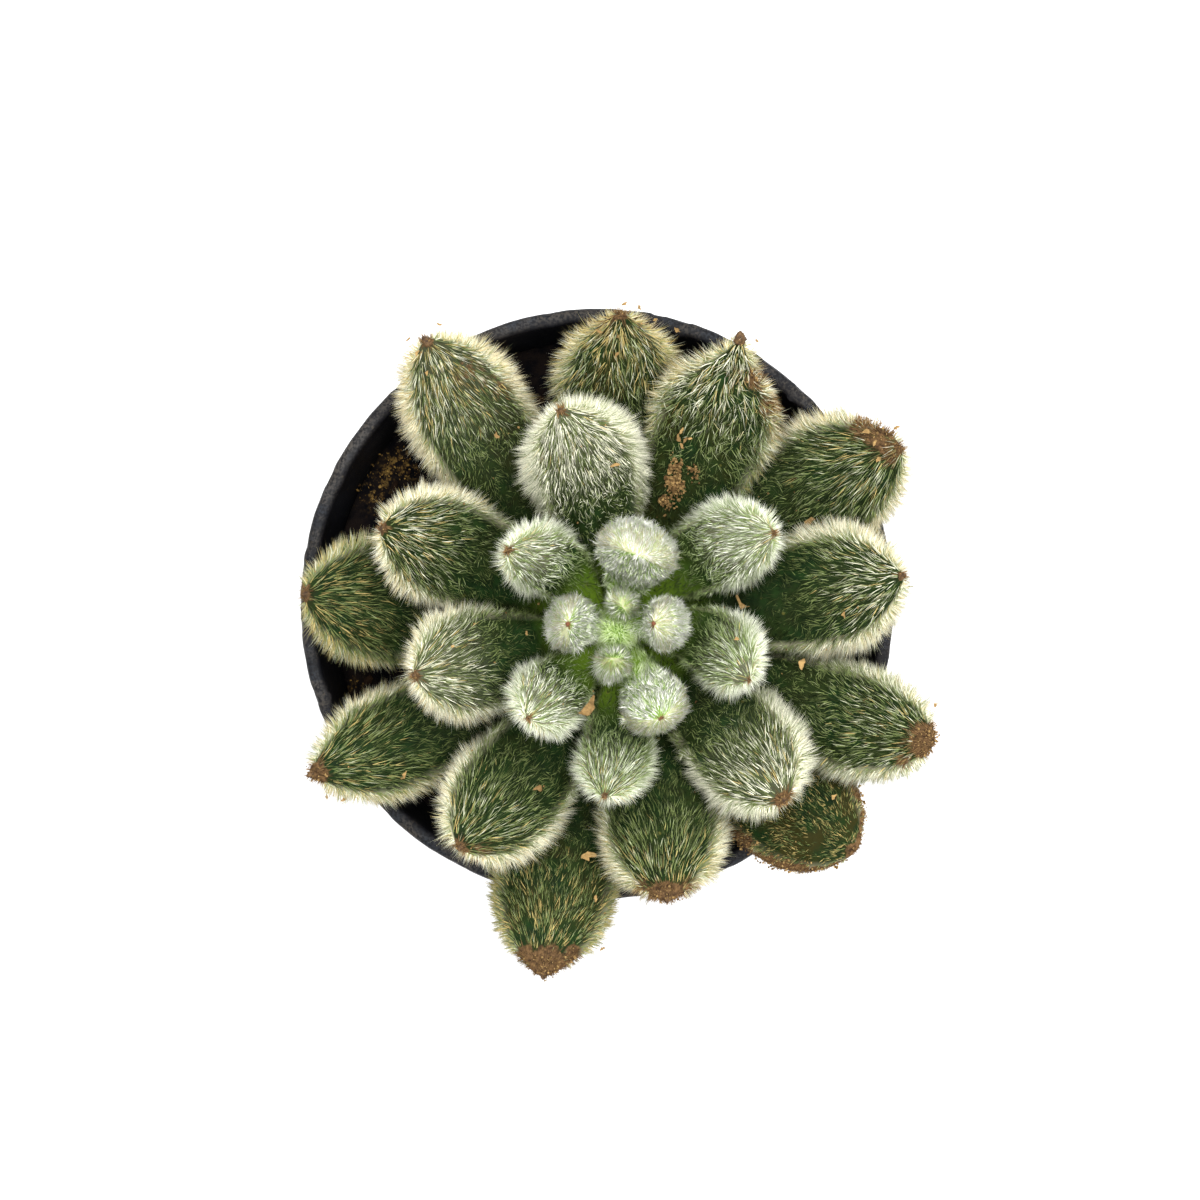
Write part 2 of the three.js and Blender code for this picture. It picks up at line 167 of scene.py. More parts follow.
# Flakes on the leaves: the place in the photograph, length and width in mm, the way it points in degrees,
# how far it curls, and how rusty it is
FLAKES = (
    (581, 705, 3.0, 1.0, 228, 1.5, 0.5), (746, 606, 2.4, 0.7, 128, 1.8, 0.3),
    (802, 668, 1.5, 1.0, 80, 0.6, 0.1), (588, 857, 1.5, 1.2, 10, 0.6, 0.05),
    (683, 430, 0.9, 0.4, 62, 0.8, 0.3), (679, 437, 1.2, 0.5, 100, 1.2, 0.6),
    (686, 439, 0.8, 0.4, 50, 1.0, 0.7), (682, 445, 0.8, 0.4, 115, 0.8, 0.5),
    (690, 437, 0.5, 0.4, 0, 0.5, 0.1), (810, 523, 1.7, 1.0, 60, 1.0, 0.5),
    (538, 790, 1.1, 0.8, 0, 1.4, 0.6), (403, 775, 0.9, 0.5, 70, 0.8, 0.25),
    (523, 636, 0.6, 0.4, 90, 0.5, 0.2), (613, 463, 1.0, 0.5, 10, 0.5, 0.15),
    (868, 432, 0.9, 0.6, 0, 0.8, 0.35), (875, 443, 0.8, 0.5, 60, 0.8, 0.2),
    (879, 459, 0.9, 0.5, 40, 0.8, 0.25), (894, 429, 0.7, 0.5, 20, 0.6, 0.3),
    (439, 327, 0.7, 0.4, 150, 0.7, 0.2), (409, 341, 0.6, 0.4, 20, 0.7, 0.3),
    (417, 353, 0.7, 0.4, 60, 0.7, 0.2), (428, 372, 0.6, 0.4, 80, 0.7, 0.2),
    (497, 434, 0.9, 0.5, 120, 0.9, 0.3), (624, 308, 0.7, 0.5, 30, 0.7, 0.3),
    (639, 313, 0.7, 0.4, 100, 0.7, 0.3), (678, 331, 0.8, 0.5, 140, 0.7, 0.4),
    (655, 320, 0.6, 0.4, 10, 0.7, 0.2), (601, 330, 0.8, 0.4, 160, 0.7, 0.4),
    (617, 352, 0.7, 0.4, 60, 0.7, 0.4), (757, 340, 0.6, 0.4, 0, 0.7, 0.3),
    (932, 706, 0.8, 0.5, 40, 0.7, 0.2), (331, 795, 0.6, 0.4, 70, 0.7, 0.3),
    (345, 799, 0.6, 0.4, 20, 0.7, 0.3), (834, 797, 0.8, 0.5, 50, 0.7, 0.15),
    (846, 614, 0.7, 0.5, 90, 0.7, 0.3), (738, 642, 0.6, 0.4, 0, 0.7, 0.05),
    (452, 648, 0.5, 0.4, 30, 0.6, 0.2), (601, 945, 0.7, 0.5, 20, 0.7, 0.25),
    (595, 898, 0.7, 0.5, 90, 0.7, 0.15),
)

# The clump of old soil on one leaf, as its place in the photograph, and how many crumbs are in it
CLUMP = ((676, 467, 75), (674, 483, 170), (679, 487, 50), (667, 500, 70), (694, 472, 26))

# Where the soil shows golden bark dust: the place in the photograph, how far it spreads in pixels, and how
# thick it is. Where it is thickest, it has this many bits.
SOIL_BITS = (
    (396, 466, 9, 1.0), (384, 477, 7, 0.9), (408, 470, 8, 0.7), (405, 458, 7, 0.5), (371, 458, 5, 0.5),
    (374, 438, 4, 0.4), (362, 492, 9, 0.6), (378, 497, 10, 0.6), (820, 655, 12, 0.4), (357, 690, 10, 0.4),
    (520, 385, 8, 0.4),
)
BITS_IN_PATCH = 40

# Settings that a user can change

def colour_setting(name, description, default):
    return FloatVectorProperty(name=name, description=description, default=default, subtype="COLOR",
                               size=3, min=0, max=1)


def length_setting(name, description, default, most=0.01):
    return FloatProperty(name=name, description=description, default=default, min=0, max=most,
                         subtype="DISTANCE", unit="LENGTH", precision=5)


def share_setting(name, description, default, most=4.0):
    return FloatProperty(name=name, description=description, default=default, min=0, max=most,
                         subtype="FACTOR")


class PotSettings(bpy.types.PropertyGroup):
    plastic: colour_setting("Plastic", "Colour of the pot's plastic", (0.0018, 0.0020, 0.0032))
    worn: colour_setting("Worn plastic", "Colour where the plastic is scuffed", (0.020, 0.0235, 0.030))
    dust: colour_setting("Dust", "Colour of dust and dried soil on the pot", (0.10, 0.08, 0.055))
    nick_depth: length_setting("Nick depth", "How deep the nicks in the rim are", 0.00026)
    nicks: IntProperty(name="Nicks", description="Number of nicks round the rim", default=46, min=0, max=80)


class SoilSettings(bpy.types.PropertyGroup):
    dark: colour_setting("Dark soil", "Colour of the damp soil", (0.0018, 0.0018, 0.0026))
    light: colour_setting("Light soil", "Colour of the drier soil", (0.008, 0.0055, 0.0045))
    bark: colour_setting("Bark", "Colour of the bark in the soil", (0.030, 0.015, 0.007))
    gold: colour_setting("Bark dust", "Colour of the golden dust of bark", (0.27, 0.165, 0.045))
    relief: length_setting("Relief", "Height of the soil's lumps", 0.0007)
    crumbs: IntProperty(name="Crumbs", description="Number of loose crumbs", default=560, min=0, max=2000)


class LeafSettings(bpy.types.PropertyGroup):
    deep: colour_setting("Deep green", "Darker green of the skin", (0.0030, 0.0100, 0.0018))
    light: colour_setting("Light green", "Lighter green of the skin", (0.0085, 0.0260, 0.0050))
    olive: colour_setting("Olive", "Colour that old skin turns to", (0.020, 0.019, 0.003))
    lime: colour_setting("Lime", "Colour of the young leaves' feet", (0.14, 0.235, 0.018))
    pale: colour_setting("Pale green", "Skin of the buds", (0.20, 0.32, 0.07))
    yellow: colour_setting("Yellow", "Colour of the fine specks in the skin", (0.20, 0.17, 0.04))
    # Painted light in part: the pale skin under the fringe stands in for the thick fur there and for the
    # light that it scatters
    felt_and_glow: colour_setting("Felt", "Skin seen through the thick fur of the margins", (0.46, 0.44, 0.29))
    dry: colour_setting("Dry brown", "Colour of the dried tips", (0.150, 0.085, 0.036))
    crust: colour_setting("Crust", "Darker colour in the dried tips", (0.026, 0.014, 0.007))
    ruddy: colour_setting("Ruddy", "Colour of the points on the buds", (0.19, 0.070, 0.034))
    ripple: length_setting("Ripple", "Unevenness of the skin", 0.00012)


class FurSettings(bpy.types.PropertyGroup):
    density: share_setting("Density", "Amount of fur, as a share of what the photograph shows", 1.0)
    old_length: length_setting("Length on old leaves", "Length of hairs on full-grown leaves", 0.0020)
    young_length: length_setting("Length on young leaves", "Length of hairs at the growing point", 0.0015)
    thickness: length_setting("Thickness", "Width of a hair at its root", 0.000122, 0.001)
    cream: colour_setting("Cream", "Colour of the brightest hairs", (1.0, 0.98, 0.79))
    middle: colour_setting("Grey green", "Colour of the hairs between the darkest and brightest",
                           (0.20, 0.25, 0.085))
    frosted: colour_setting("Frosted green", "Colour of the young leaves' hairs in the middle of the range",
                            (0.27, 0.35, 0.13))
    hoar: colour_setting("Hoar", "Colour of the young leaves' brightest hairs", (0.98, 0.99, 0.84))
    shade: colour_setting("Shade", "Colour of the hairs that hardly show on dark skin",
                          (0.006, 0.016, 0.0022))
    white: colour_setting("Green white", "Colour of the buds' brightest hairs", (1.0, 1.0, 0.93))
    soft: colour_setting("Soft green", "Colour of the buds' other hairs", (0.60, 0.74, 0.33))
    fresh: colour_setting("Fresh green", "Colour of the buds' darkest hairs", (0.20, 0.36, 0.03))
    gold: colour_setting("Gold", "Colour of the hairs near old tips", (0.64, 0.48, 0.18))
    dry: colour_setting("Dry", "Colour of the hairs on dried tips", (0.21, 0.125, 0.052))


class DebrisSettings(bpy.types.PropertyGroup):
    grains: IntProperty(name="Grains", description="Number of fine crumbs caught in the fur", default=420,
                        min=0, max=2000)
    tan: colour_setting("Tan", "Colour of the pale flakes", (0.42, 0.27, 0.105))
    rust: colour_setting("Rust", "Colour of the brown flakes", (0.085, 0.045, 0.018))


class StageSettings(bpy.types.PropertyGroup):
    sky: share_setting("Soft light", "Strength of the light from all round", 0.67)
    key: FloatProperty(name="Key light", description="Power of the large light overhead", default=35.0,
                       min=0, max=200, unit="POWER")
    floor: colour_setting("Floor", "Colour of the floor", (0.95, 0.95, 0.95))


# Node helpers

class Nodes:
    """Adds nodes to a tree and joins them, so that a material reads from its textures to its shader."""

    def __init__(self, tree):
        self.tree = tree
        self.across = 0

    def add(self, kind, values=None, **options):
        node = self.tree.nodes.new(kind)
        node.location = (self.across, 0)
        self.across += 180
        for name, value in options.items():
            setattr(node, name, value)
        for name, value in (values or {}).items():
            self.feed(node.inputs[name], value)
        return node

    def feed(self, socket, value):
        if isinstance(value, bpy.types.NodeSocket):
            self.tree.links.new(value, socket)
        elif socket.type == "RGBA":
            socket.default_value = (*value[:3], 1.0)
        else:
            socket.default_value = value

    def mix(self, share, first, second, blend="MIX"):
        node = self.add("ShaderNodeMix", data_type="RGBA", blend_type=blend, clamp_result=False)
        self.feed(node.inputs[0], share)
        self.feed(node.inputs[6], first)
        self.feed(node.inputs[7], second)
        return node.outputs[2]

    def math(self, operation, first, second=0.0, clamp=False):
        node = self.add("ShaderNodeMath", operation=operation, use_clamp=clamp)
        self.feed(node.inputs[0], first)
        self.feed(node.inputs[1], second)
        return node.outputs[0]

    def times(self, first, second):
        return self.math("MULTIPLY", first, second)

    def ramp(self, value, low, high, to_low=0.0, to_high=1.0):
        """value eased from low..high to to_low..to_high"""
        node = self.add("ShaderNodeMapRange", interpolation_type="SMOOTHSTEP")
        for socket, given in zip(node.inputs[:5], (value, low, high, to_low, to_high)):
            self.feed(socket, given)
        return node.outputs[0]

    def mask(self, name):
        """A number that the mesh holds at each of its points"""
        return self.add("ShaderNodeAttribute", attribute_name=name).outputs["Fac"]

    def place(self):
        return self.add("ShaderNodeTexCoord").outputs["Object"]

    def clouds(self, scale, detail, roughness):
        values = {"Vector": self.place(), "Scale": scale, "Detail": detail, "Roughness": roughness}
        return self.add("ShaderNodeTexNoise", values).outputs["Fac"]

    def group(self, effect, **values):
        """What a shared effect gives, by name"""
        node = self.add("ShaderNodeGroup", node_tree=shared_group(effect))
        for name, value in values.items():
            self.feed(node.inputs[name.capitalize()], value)
        return node.outputs

    def mottled(self, scale, spread, first, second):
        return self.group("Mottle", scale=scale, spread=spread, first=first, second=second)

    def patches(self, scale, spread):
        return self.group("Mottle", scale=scale, spread=spread)["Mask"]

    def specks(self, scale, size, share):
        return self.group("Specks", scale=scale, size=size, share=share)["Mask"]

    def grain(self, scale, depth, strength):
        return self.group("Grain", scale=scale, depth=depth, strength=strength)["Normal"]


def new_group(name, inputs, outputs):
    """An empty shader node group with named sockets: float inputs take a number, colour inputs three."""
    tree = bpy.data.node_groups.new(name, "ShaderNodeTree")
    for label, default in inputs.items():
        colour = isinstance(default, tuple)
        kind = "NodeSocketColor" if colour else "NodeSocketFloat"
        socket = tree.interface.new_socket(label, in_out="INPUT", socket_type=kind)
        socket.default_value = (*default, 1.0) if colour else default
    for label, kind in outputs.items():
        tree.interface.new_socket(label, in_out="OUTPUT", socket_type=kind)
    nodes = Nodes(tree)
    given = nodes.add("NodeGroupInput")
    return tree, nodes, given.outputs


def close_group(nodes, **results):
    end = nodes.add("NodeGroupOutput")
    for name, value in results.items():
        nodes.tree.links.new(value, end.inputs[name.capitalize()])


def mottle_group():
    """Two colours in soft clouds"""
    tree, nodes, given = new_group(
        "Mottle",
        {"Scale": 500.0, "Spread": 0.15, "First": (0.1, 0.1, 0.1), "Second": (0.2, 0.2, 0.2)},
        {"Colour": "NodeSocketColor", "Mask": "NodeSocketFloat"},
    )
    cloud = nodes.clouds(given["Scale"], 5.0, 0.6)
    low = nodes.math("SUBTRACT", 0.5, given["Spread"])
    high = nodes.math("ADD", 0.5, given["Spread"])
    mask = nodes.ramp(cloud, low, high)
    close_group(nodes, colour=nodes.mix(mask, given["First"], given["Second"]), mask=mask)
    return tree


def speck_group():
    """Small scattered spots, as a mask"""
    tree, nodes, given = new_group("Specks", {"Scale": 900.0, "Size": 0.2, "Share": 0.3},
                                   {"Mask": "NodeSocketFloat"})
    cells = nodes.add("ShaderNodeTexVoronoi", {"Vector": nodes.place(), "Scale": given["Scale"]})
    soft = nodes.times(given["Size"], 0.6)
    near = nodes.ramp(cells.outputs["Distance"], soft, given["Size"], 1.0, 0.0)
    pick = nodes.add("ShaderNodeSeparateColor", {"Color": cells.outputs["Color"]}).outputs[0]
    chosen = nodes.math("LESS_THAN", pick, given["Share"])
    close_group(nodes, mask=nodes.times(near, chosen))
    return tree


def grain_group():
    """Fine relief of a surface, as a normal"""
    tree, nodes, given = new_group("Grain", {"Scale": 2500.0, "Depth": 0.0001, "Strength": 0.5},
                                   {"Normal": "NodeSocketVector"})
    cloud = nodes.clouds(given["Scale"], 4.0, 0.65)
    bump = nodes.add("ShaderNodeBump", {"Strength": given["Strength"], "Distance": given["Depth"],
                                        "Height": cloud})
    close_group(nodes, normal=bump.outputs["Normal"])
    return tree


def shared_group(name):
    """A shared effect, built when it is first asked for"""
    makers = {"Mottle": mottle_group, "Specks": speck_group, "Grain": grain_group}
    return bpy.data.node_groups.get(name) or makers[name]()


def new_material(name):
    material = bpy.data.materials.new(name)
    material.use_nodes = True
    nodes = Nodes(material.node_tree)
    material.node_tree.nodes.clear()
    return material, nodes


def close_material(nodes, colour, roughness, normal=None, **plain):
    """Ends a material in one Principled shader. plain holds values that are the same all over."""
    shader = nodes.add("ShaderNodeBsdfPrincipled", {"Base Color": colour, "Roughness": roughness})
    if normal is not None:
        nodes.feed(shader.inputs["Normal"], normal)
    for name, value in plain.items():
        nodes.feed(shader.inputs[name.replace("_", " ").title().replace("Ior", "IOR")], value)
    out = nodes.add("ShaderNodeOutputMaterial")
    nodes.tree.links.new(shader.outputs[0], out.inputs["Surface"])


# Materials

def scaled(colour, share):
    return tuple(part * share for part in colour)


def plastic_material():
    pot = bpy.context.scene.echeveria_pot
    material, nodes = new_material("grained_black_plastic")
    clouds = nodes.mottled(220.0, 0.2, pot.plastic, scaled(pot.plastic, 1.9))
    scuffs = nodes.specks(1400.0, 0.3, 0.35)
    rim = nodes.mask("rim")
    patchy = nodes.patches(260.0, 0.2)
    gritty = nodes.patches(3600.0, 0.10)
    rubbed = nodes.times(gritty, nodes.ramp(patchy, 0.0, 1.0, 0.35, 1.0))
    rubbed = nodes.times(rim, rubbed)
    worn = nodes.math("ADD", nodes.times(scuffs, 0.08), rubbed, True)
    colour = nodes.mix(worn, clouds["Colour"], pot.worn)
    soiled = nodes.patches(330.0, 0.08)
    soiled = nodes.times(nodes.times(soiled, rim), gritty)
    colour = nodes.mix(nodes.times(soiled, 0.35), colour, pot.dust)
    dust = nodes.specks(1500.0, 0.3, 0.05)
    colour = nodes.mix(nodes.times(dust, 0.22), colour, pot.dust)
    smudge = nodes.patches(70.0, 0.16)
    colour = nodes.mix(nodes.times(smudge, 0.05), colour, pot.dust)
    roughness = nodes.ramp(clouds["Mask"], 0.0, 1.0, 0.5, 0.66)
    grain = nodes.grain(4200.0, 0.00008, 0.7)
    close_material(nodes, colour, roughness, grain, specular_ior_level=0.16)
    return material


def soil_material():
    soil = bpy.context.scene.echeveria_soil
    material, nodes = new_material("damp_potting_soil")
    clouds = nodes.mottled(420.0, 0.12, soil.dark, soil.light)
    bark = nodes.specks(620.0, 0.34, 0.16)
    colour = nodes.mix(nodes.times(bark, 0.8), clouds["Colour"], soil.bark)
    bits = nodes.mottled(3000.0, 0.08, soil.bark, soil.gold)
    broken = nodes.patches(1100.0, 0.10)
    dusty = nodes.times(nodes.mask("golden"), nodes.ramp(broken, 0.45, 0.95, 0.0, 0.55))
    colour = nodes.mix(dusty, colour, bits["Colour"])
    grain = nodes.grain(2600.0, 0.0003, 0.9)
    close_material(nodes, colour, 0.95, grain, specular_ior_level=0.05)
    return material


def crumb_material(name, first, second):
    """Crumbs and flakes: tint is a number that each crumb holds"""
    material, nodes = new_material(name)
    tint = nodes.mask("tint")
    clouds = nodes.mottled(2600.0, 0.25, (0.55,) * 3, (1.15,) * 3)
    colour = nodes.mix(1.0, nodes.mix(tint, first, second), clouds["Colour"], "MULTIPLY")
    grain = nodes.grain(5000.0, 0.0001, 0.7)
    close_material(nodes, colour, 0.85, grain, specular_ior_level=0.08)
    return material


def skin_material(name, green, other_green, foot, reach):
    """Leaf skin: mottled green, brighter at its foot as far as reach, olive with age, pale under the thick
    fur of its margins, partly as painted light, and brown where it has dried"""
    leaf = bpy.context.scene.echeveria_leaf
    material, nodes = new_material(name)
    along, dry, olive, felt_and_glow = (nodes.mask(n) for n in ("along", "dry", "olive", "felt_and_glow"))
    clouds = nodes.mottled(650.0, 0.2, green, other_green)
    colour = clouds["Colour"]
    patches = nodes.patches(210.0, 0.14)
    colour = nodes.mix(nodes.times(patches, olive), colour, leaf.olive)
    colour = nodes.mix(nodes.ramp(along, reach, 0.05), colour, foot)
    yellow = nodes.specks(900.0, 0.22, 0.10)
    colour = nodes.mix(nodes.times(yellow, 0.3), colour, leaf.yellow)
    # Painted light in part: the skin under the thick fringe is made pale, for the fur there and for the light
    # that it scatters
    colour = nodes.mix(nodes.times(felt_and_glow, 0.75), colour, leaf.felt_and_glow)
    crust = nodes.mottled(2300.0, 0.2, leaf.dry, leaf.crust)
    ragged = nodes.patches(1100.0, 0.3)
    edge = nodes.math("SUBTRACT", nodes.times(ragged, 0.5), 0.25)
    dried = nodes.ramp(nodes.math("ADD", dry, edge), 0.3, 0.6)
    colour = nodes.mix(dried, colour, crust["Colour"])
    roughness = nodes.ramp(clouds["Mask"], 0.0, 1.0, 0.55, 0.72)
    grain = nodes.grain(2200.0, 0.0002, 0.6)
    close_material(nodes, colour, roughness, grain, specular_ior_level=0.06)
    return material


def fur_material(name, shade, middle, cream):
    """Hairs: from shade over middle to cream with their tint, darker towards the root as painted shade,
    golden or brown where the leaf's end has dried. Nothing else changes a hair's colour, so hairs of one kind
    can share a map."""
    fur = bpy.context.scene.echeveria_fur
    material, nodes = new_material(name)
    share, tint, gold, dry = (nodes.mask(n) for n in ("share", "tint", "gold", "dry"))
    # Painted shade: each hair, dried ones too, is darker towards its root, deep in the coat, and lit towards
    # its end
    root = nodes.math("ADD", nodes.times(tint, 0.45), 0.42)
    rise = nodes.ramp(share, 0.0, 0.6)
    lit = nodes.math("ADD", nodes.times(rise, nodes.math("SUBTRACT", 1.0, root)), root)
    light = nodes.times(lit, tint)
    colour = nodes.mix(nodes.ramp(light, 0.0, 0.5), shade, middle)
    colour = nodes.mix(nodes.ramp(light, 0.45, 1.0), colour, cream)
    colour = nodes.mix(nodes.times(gold, lit), colour, fur.gold)
    burnt = nodes.mix(tint, scaled(fur.dry, 0.25), scaled(fur.dry, 1.5))
    burnt = nodes.mix(rise, scaled(fur.dry, 0.3), burnt)
    colour = nodes.mix(dry, colour, burnt)
    close_material(nodes, colour, 0.6, specular_ior_level=0.1)
    return material


def dry_tip_material():
    leaf = bpy.context.scene.echeveria_leaf
    material, nodes = new_material("dried_leaf_tip")
    clouds = nodes.mottled(2400.0, 0.2, leaf.dry, leaf.crust)
    colour = nodes.mix(nodes.mask("ruddy"), clouds["Colour"], leaf.ruddy)
    grain = nodes.grain(4200.0, 0.00015, 0.7)
    close_material(nodes, colour, 0.7, grain, specular_ior_level=0.25)
    return material


def stem_material():
    leaf = bpy.context.scene.echeveria_leaf
    material, nodes = new_material("stem_skin")
    up = nodes.mask("up")
    clouds = nodes.mottled(800.0, 0.2, leaf.lime, leaf.pale)
    colour = nodes.mix(nodes.ramp(up, 0.75, 0.35), clouds["Colour"], leaf.olive)
    grain = nodes.grain(2200.0, 0.0002, 0.7)
    close_material(nodes, colour, 0.7, grain)
    return material


def floor_material():
    stage = bpy.context.scene.echeveria_stage
    material, nodes = new_material("pale_floor")
    close_material(nodes, stage.floor, 0.9)
    return material


# Mesh helpers

def mesh_piece(name, points, faces, material, smooth=True):
    """A piece that rides on the body. faces is a list of rows of point numbers."""
    mesh = bpy.data.meshes.new(name)
    counts = np.concatenate([np.full(len(part), part.shape[1]) for part in faces])
    corners = np.concatenate([part.ravel() for part in faces]).astype(np.int32)
    starts = np.concatenate([[0], np.cumsum(counts)[:-1]]).astype(np.int32)
    mesh.vertices.add(len(points))
    mesh.vertices.foreach_set("co", np.asarray(points, np.float32).ravel())
    mesh.loops.add(len(corners))
    mesh.loops.foreach_set("vertex_index", corners)
    mesh.polygons.add(len(counts))
    mesh.polygons.foreach_set("loop_start", starts)
    mesh.polygons.foreach_set("use_smooth", np.full(len(counts), smooth))
    mesh.update(calc_edges=True)
    mesh.validate()
    piece = bpy.data.objects.new(name, mesh)
    bpy.context.scene.collection.objects.link(piece)
    mesh.materials.append(material)
    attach(piece, BODY)
    return piece


def set_mask(piece, name, values):
    mask = piece.data.attributes.new(name, "FLOAT", "POINT")
    mask.data.foreach_set("value", np.asarray(values, np.float32).ravel())


def set_map(piece, places):
    """A map of the piece's own for baking: one place for each corner"""
    piece.data.uv_layers.new(name="OFBake")
    piece.data.uv_layers["OFBake"].data.foreach_set("uv", np.asarray(places, np.float32).ravel())


def closed_faces(rows, around, inside_out=False):
    """Faces over rows of points that go round, where the points come row by row and are followed by one
    point that closes the first row and one that closes the last"""
    index = np.arange(rows * around).reshape(rows, around)
    beside = np.roll(index, -1, 1)
    quads = np.stack([index[:-1], beside[:-1], beside[1:], index[1:]], -1).reshape(-1, 4)
    first = np.stack([beside[0], index[0], np.full(around, index.size)], -1)
    last = np.stack([index[-1], beside[-1], np.full(around, index.size + 1)], -1)
    return [part[:, ::-1] if inside_out else part for part in (quads, first, last)]


def welded(node):
    """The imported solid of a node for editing, with its faces joined where their corners meet"""
    bm = bmesh.new()
    bm.from_mesh(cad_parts[node].data)
    bmesh.ops.remove_doubles(bm, verts=bm.verts, dist=WELD)
    return bm


def points_and_faces(bm):
    """What an edited mesh of triangles holds, which is then freed"""
    bm.verts.index_update()
    points = np.array([v.co[:] for v in bm.verts])
    faces = np.array([[v.index for v in f.verts] for f in bm.faces])
    bm.free()
    return points, faces


def corner_points(piece):
    """The number of the point at each of the piece's corners"""
    corners = np.empty(len(piece.data.loops), np.int32)
    piece.data.loops.foreach_get("vertex_index", corners)
    return corners


def turns_round(sides):
    return np.arange(sides) / sides * 2 * math.pi


def unit(vectors):
    return vectors / np.maximum(np.linalg.norm(vectors, axis=-1, keepdims=True), 1e-12)


def eased(values, low, high):
    share = np.clip((values - low) / (high - low), 0, 1)
    return share * share * (3 - 2 * share)


def cloudy(points, scale):
    """A number from -1 to 1 that changes from place to place, more quickly with a larger scale"""
    return np.array([noise.noise(Vector(p) * scale) for p in points])


def cubic(rows, steps):
    """Points on Catmull-Rom curves through all but the first and last of rows, at each of steps, which are
    counted in rows from the second one"""
    at = np.minimum(steps.astype(int), len(rows) - 4)
    t = (steps - at).reshape(-1, *([1] * (rows.ndim - 1)))
    a, b, c, d = (rows[at + i] for i in range(4))
    return 0.5 * (2 * b + (c - a) * t + (2 * a - 5 * b + 4 * c - d) * t**2 + (3 * b - a - 3 * c + d) * t**3)


# Places in the photograph

def photo_ray(x, y):
    """The camera's line of sight through a place in the photograph's frame"""
    half = SENSOR / 2 / CAMERA_LENS
    across = ((x / PHOTO_SIZE) * 2 - 1) * half
    down = ((y / PHOTO_SIZE) * 2 - 1) * half
    return CAMERA_PLACE, Vector((across, -down, -1.0)).normalized()


def photo_point(x, y, height):
    """Where the line of sight through a place in the photograph's frame comes down to a height"""
    place, sight = photo_ray(x, y)
    return place + sight * ((height - place.z) / sight.z)


# Leaves

def ring_order(row):
    """A row's points in the order in which they go round"""
    members, order = set(row), [row[0]]
    while len(order) < len(row):
        near = (edge.other_vert(order[-1]) for edge in order[-1].link_edges)
        order.append(next(point for point in near if point in members and point not in order))
    return order


def cad_rows(node):
    """The CAD leaf's points: rows from foot to tip, each starting at the same side of the leaf"""
    bm = welded(node)
    ends = sorted(bm.verts, key=lambda v: -len(v.link_edges))[:2]
    foot, tip = sorted(ends, key=lambda v: v.co.z)
    rows, seen, front = [], {foot}, [foot]
    while front:
        near = (edge.other_vert(point) for point in front for edge in point.link_edges)
        front = [point for point in dict.fromkeys(near) if point not in seen]
        seen.update(front)
        if len(front) == ROW_POINTS:
            ring = np.array([v.co[:] for v in ring_order(front)])
            if rows:
                turns = [np.roll(ring[::way], k, 0) for way in (1, -1) for k in range(ROW_POINTS)]
                ring = min(turns, key=lambda turned: np.linalg.norm(turned - rows[-1], axis=1).sum())
            rows.append(ring)
    foot, tip = np.array(foot.co), np.array(tip.co)
    bm.free()
    return np.array([np.tile(foot, (ROW_POINTS, 1)), *rows, np.tile(tip, (ROW_POINTS, 1))])


def turned_rows(rows):
    """Rows that start at a margin and run over the upper face first"""
    middle = rows[len(rows) // 2]
    half = ROW_POINTS // 2
    start = int(np.argmax(np.linalg.norm(middle - np.roll(middle, -half, 0), axis=1)))
    rows = np.roll(rows, -start, 1)
    middle = rows[len(rows) // 2]
    centre = middle.mean(0)
    inward = np.array(STEM_AXIS)[:2] - centre[:2]
    upper = np.array([*(inward / np.linalg.norm(inward)), 1.0])
    if (middle[half // 2] - centre) @ upper < 0:
        rows = np.roll(rows[:, ::-1], 1, 1)
    return rows


def fine_surface(rows, around, rows_along):
    """Smooth rows through the CAD rows, from foot to tip, with more points in each"""
    half = ROW_POINTS // 2
    rows = np.concatenate([np.roll(rows[1:2], half, 1), rows, np.roll(rows[-2:-1], half, 1)])
    fine = cubic(rows, np.linspace(0, len(rows) - 3, rows_along))
    lines = np.swapaxes(fine, 0, 1)
    lines = np.concatenate([lines[-1:], lines, lines[:2]])
    return np.swapaxes(cubic(lines, np.linspace(0, ROW_POINTS, around, endpoint=False)), 0, 1)


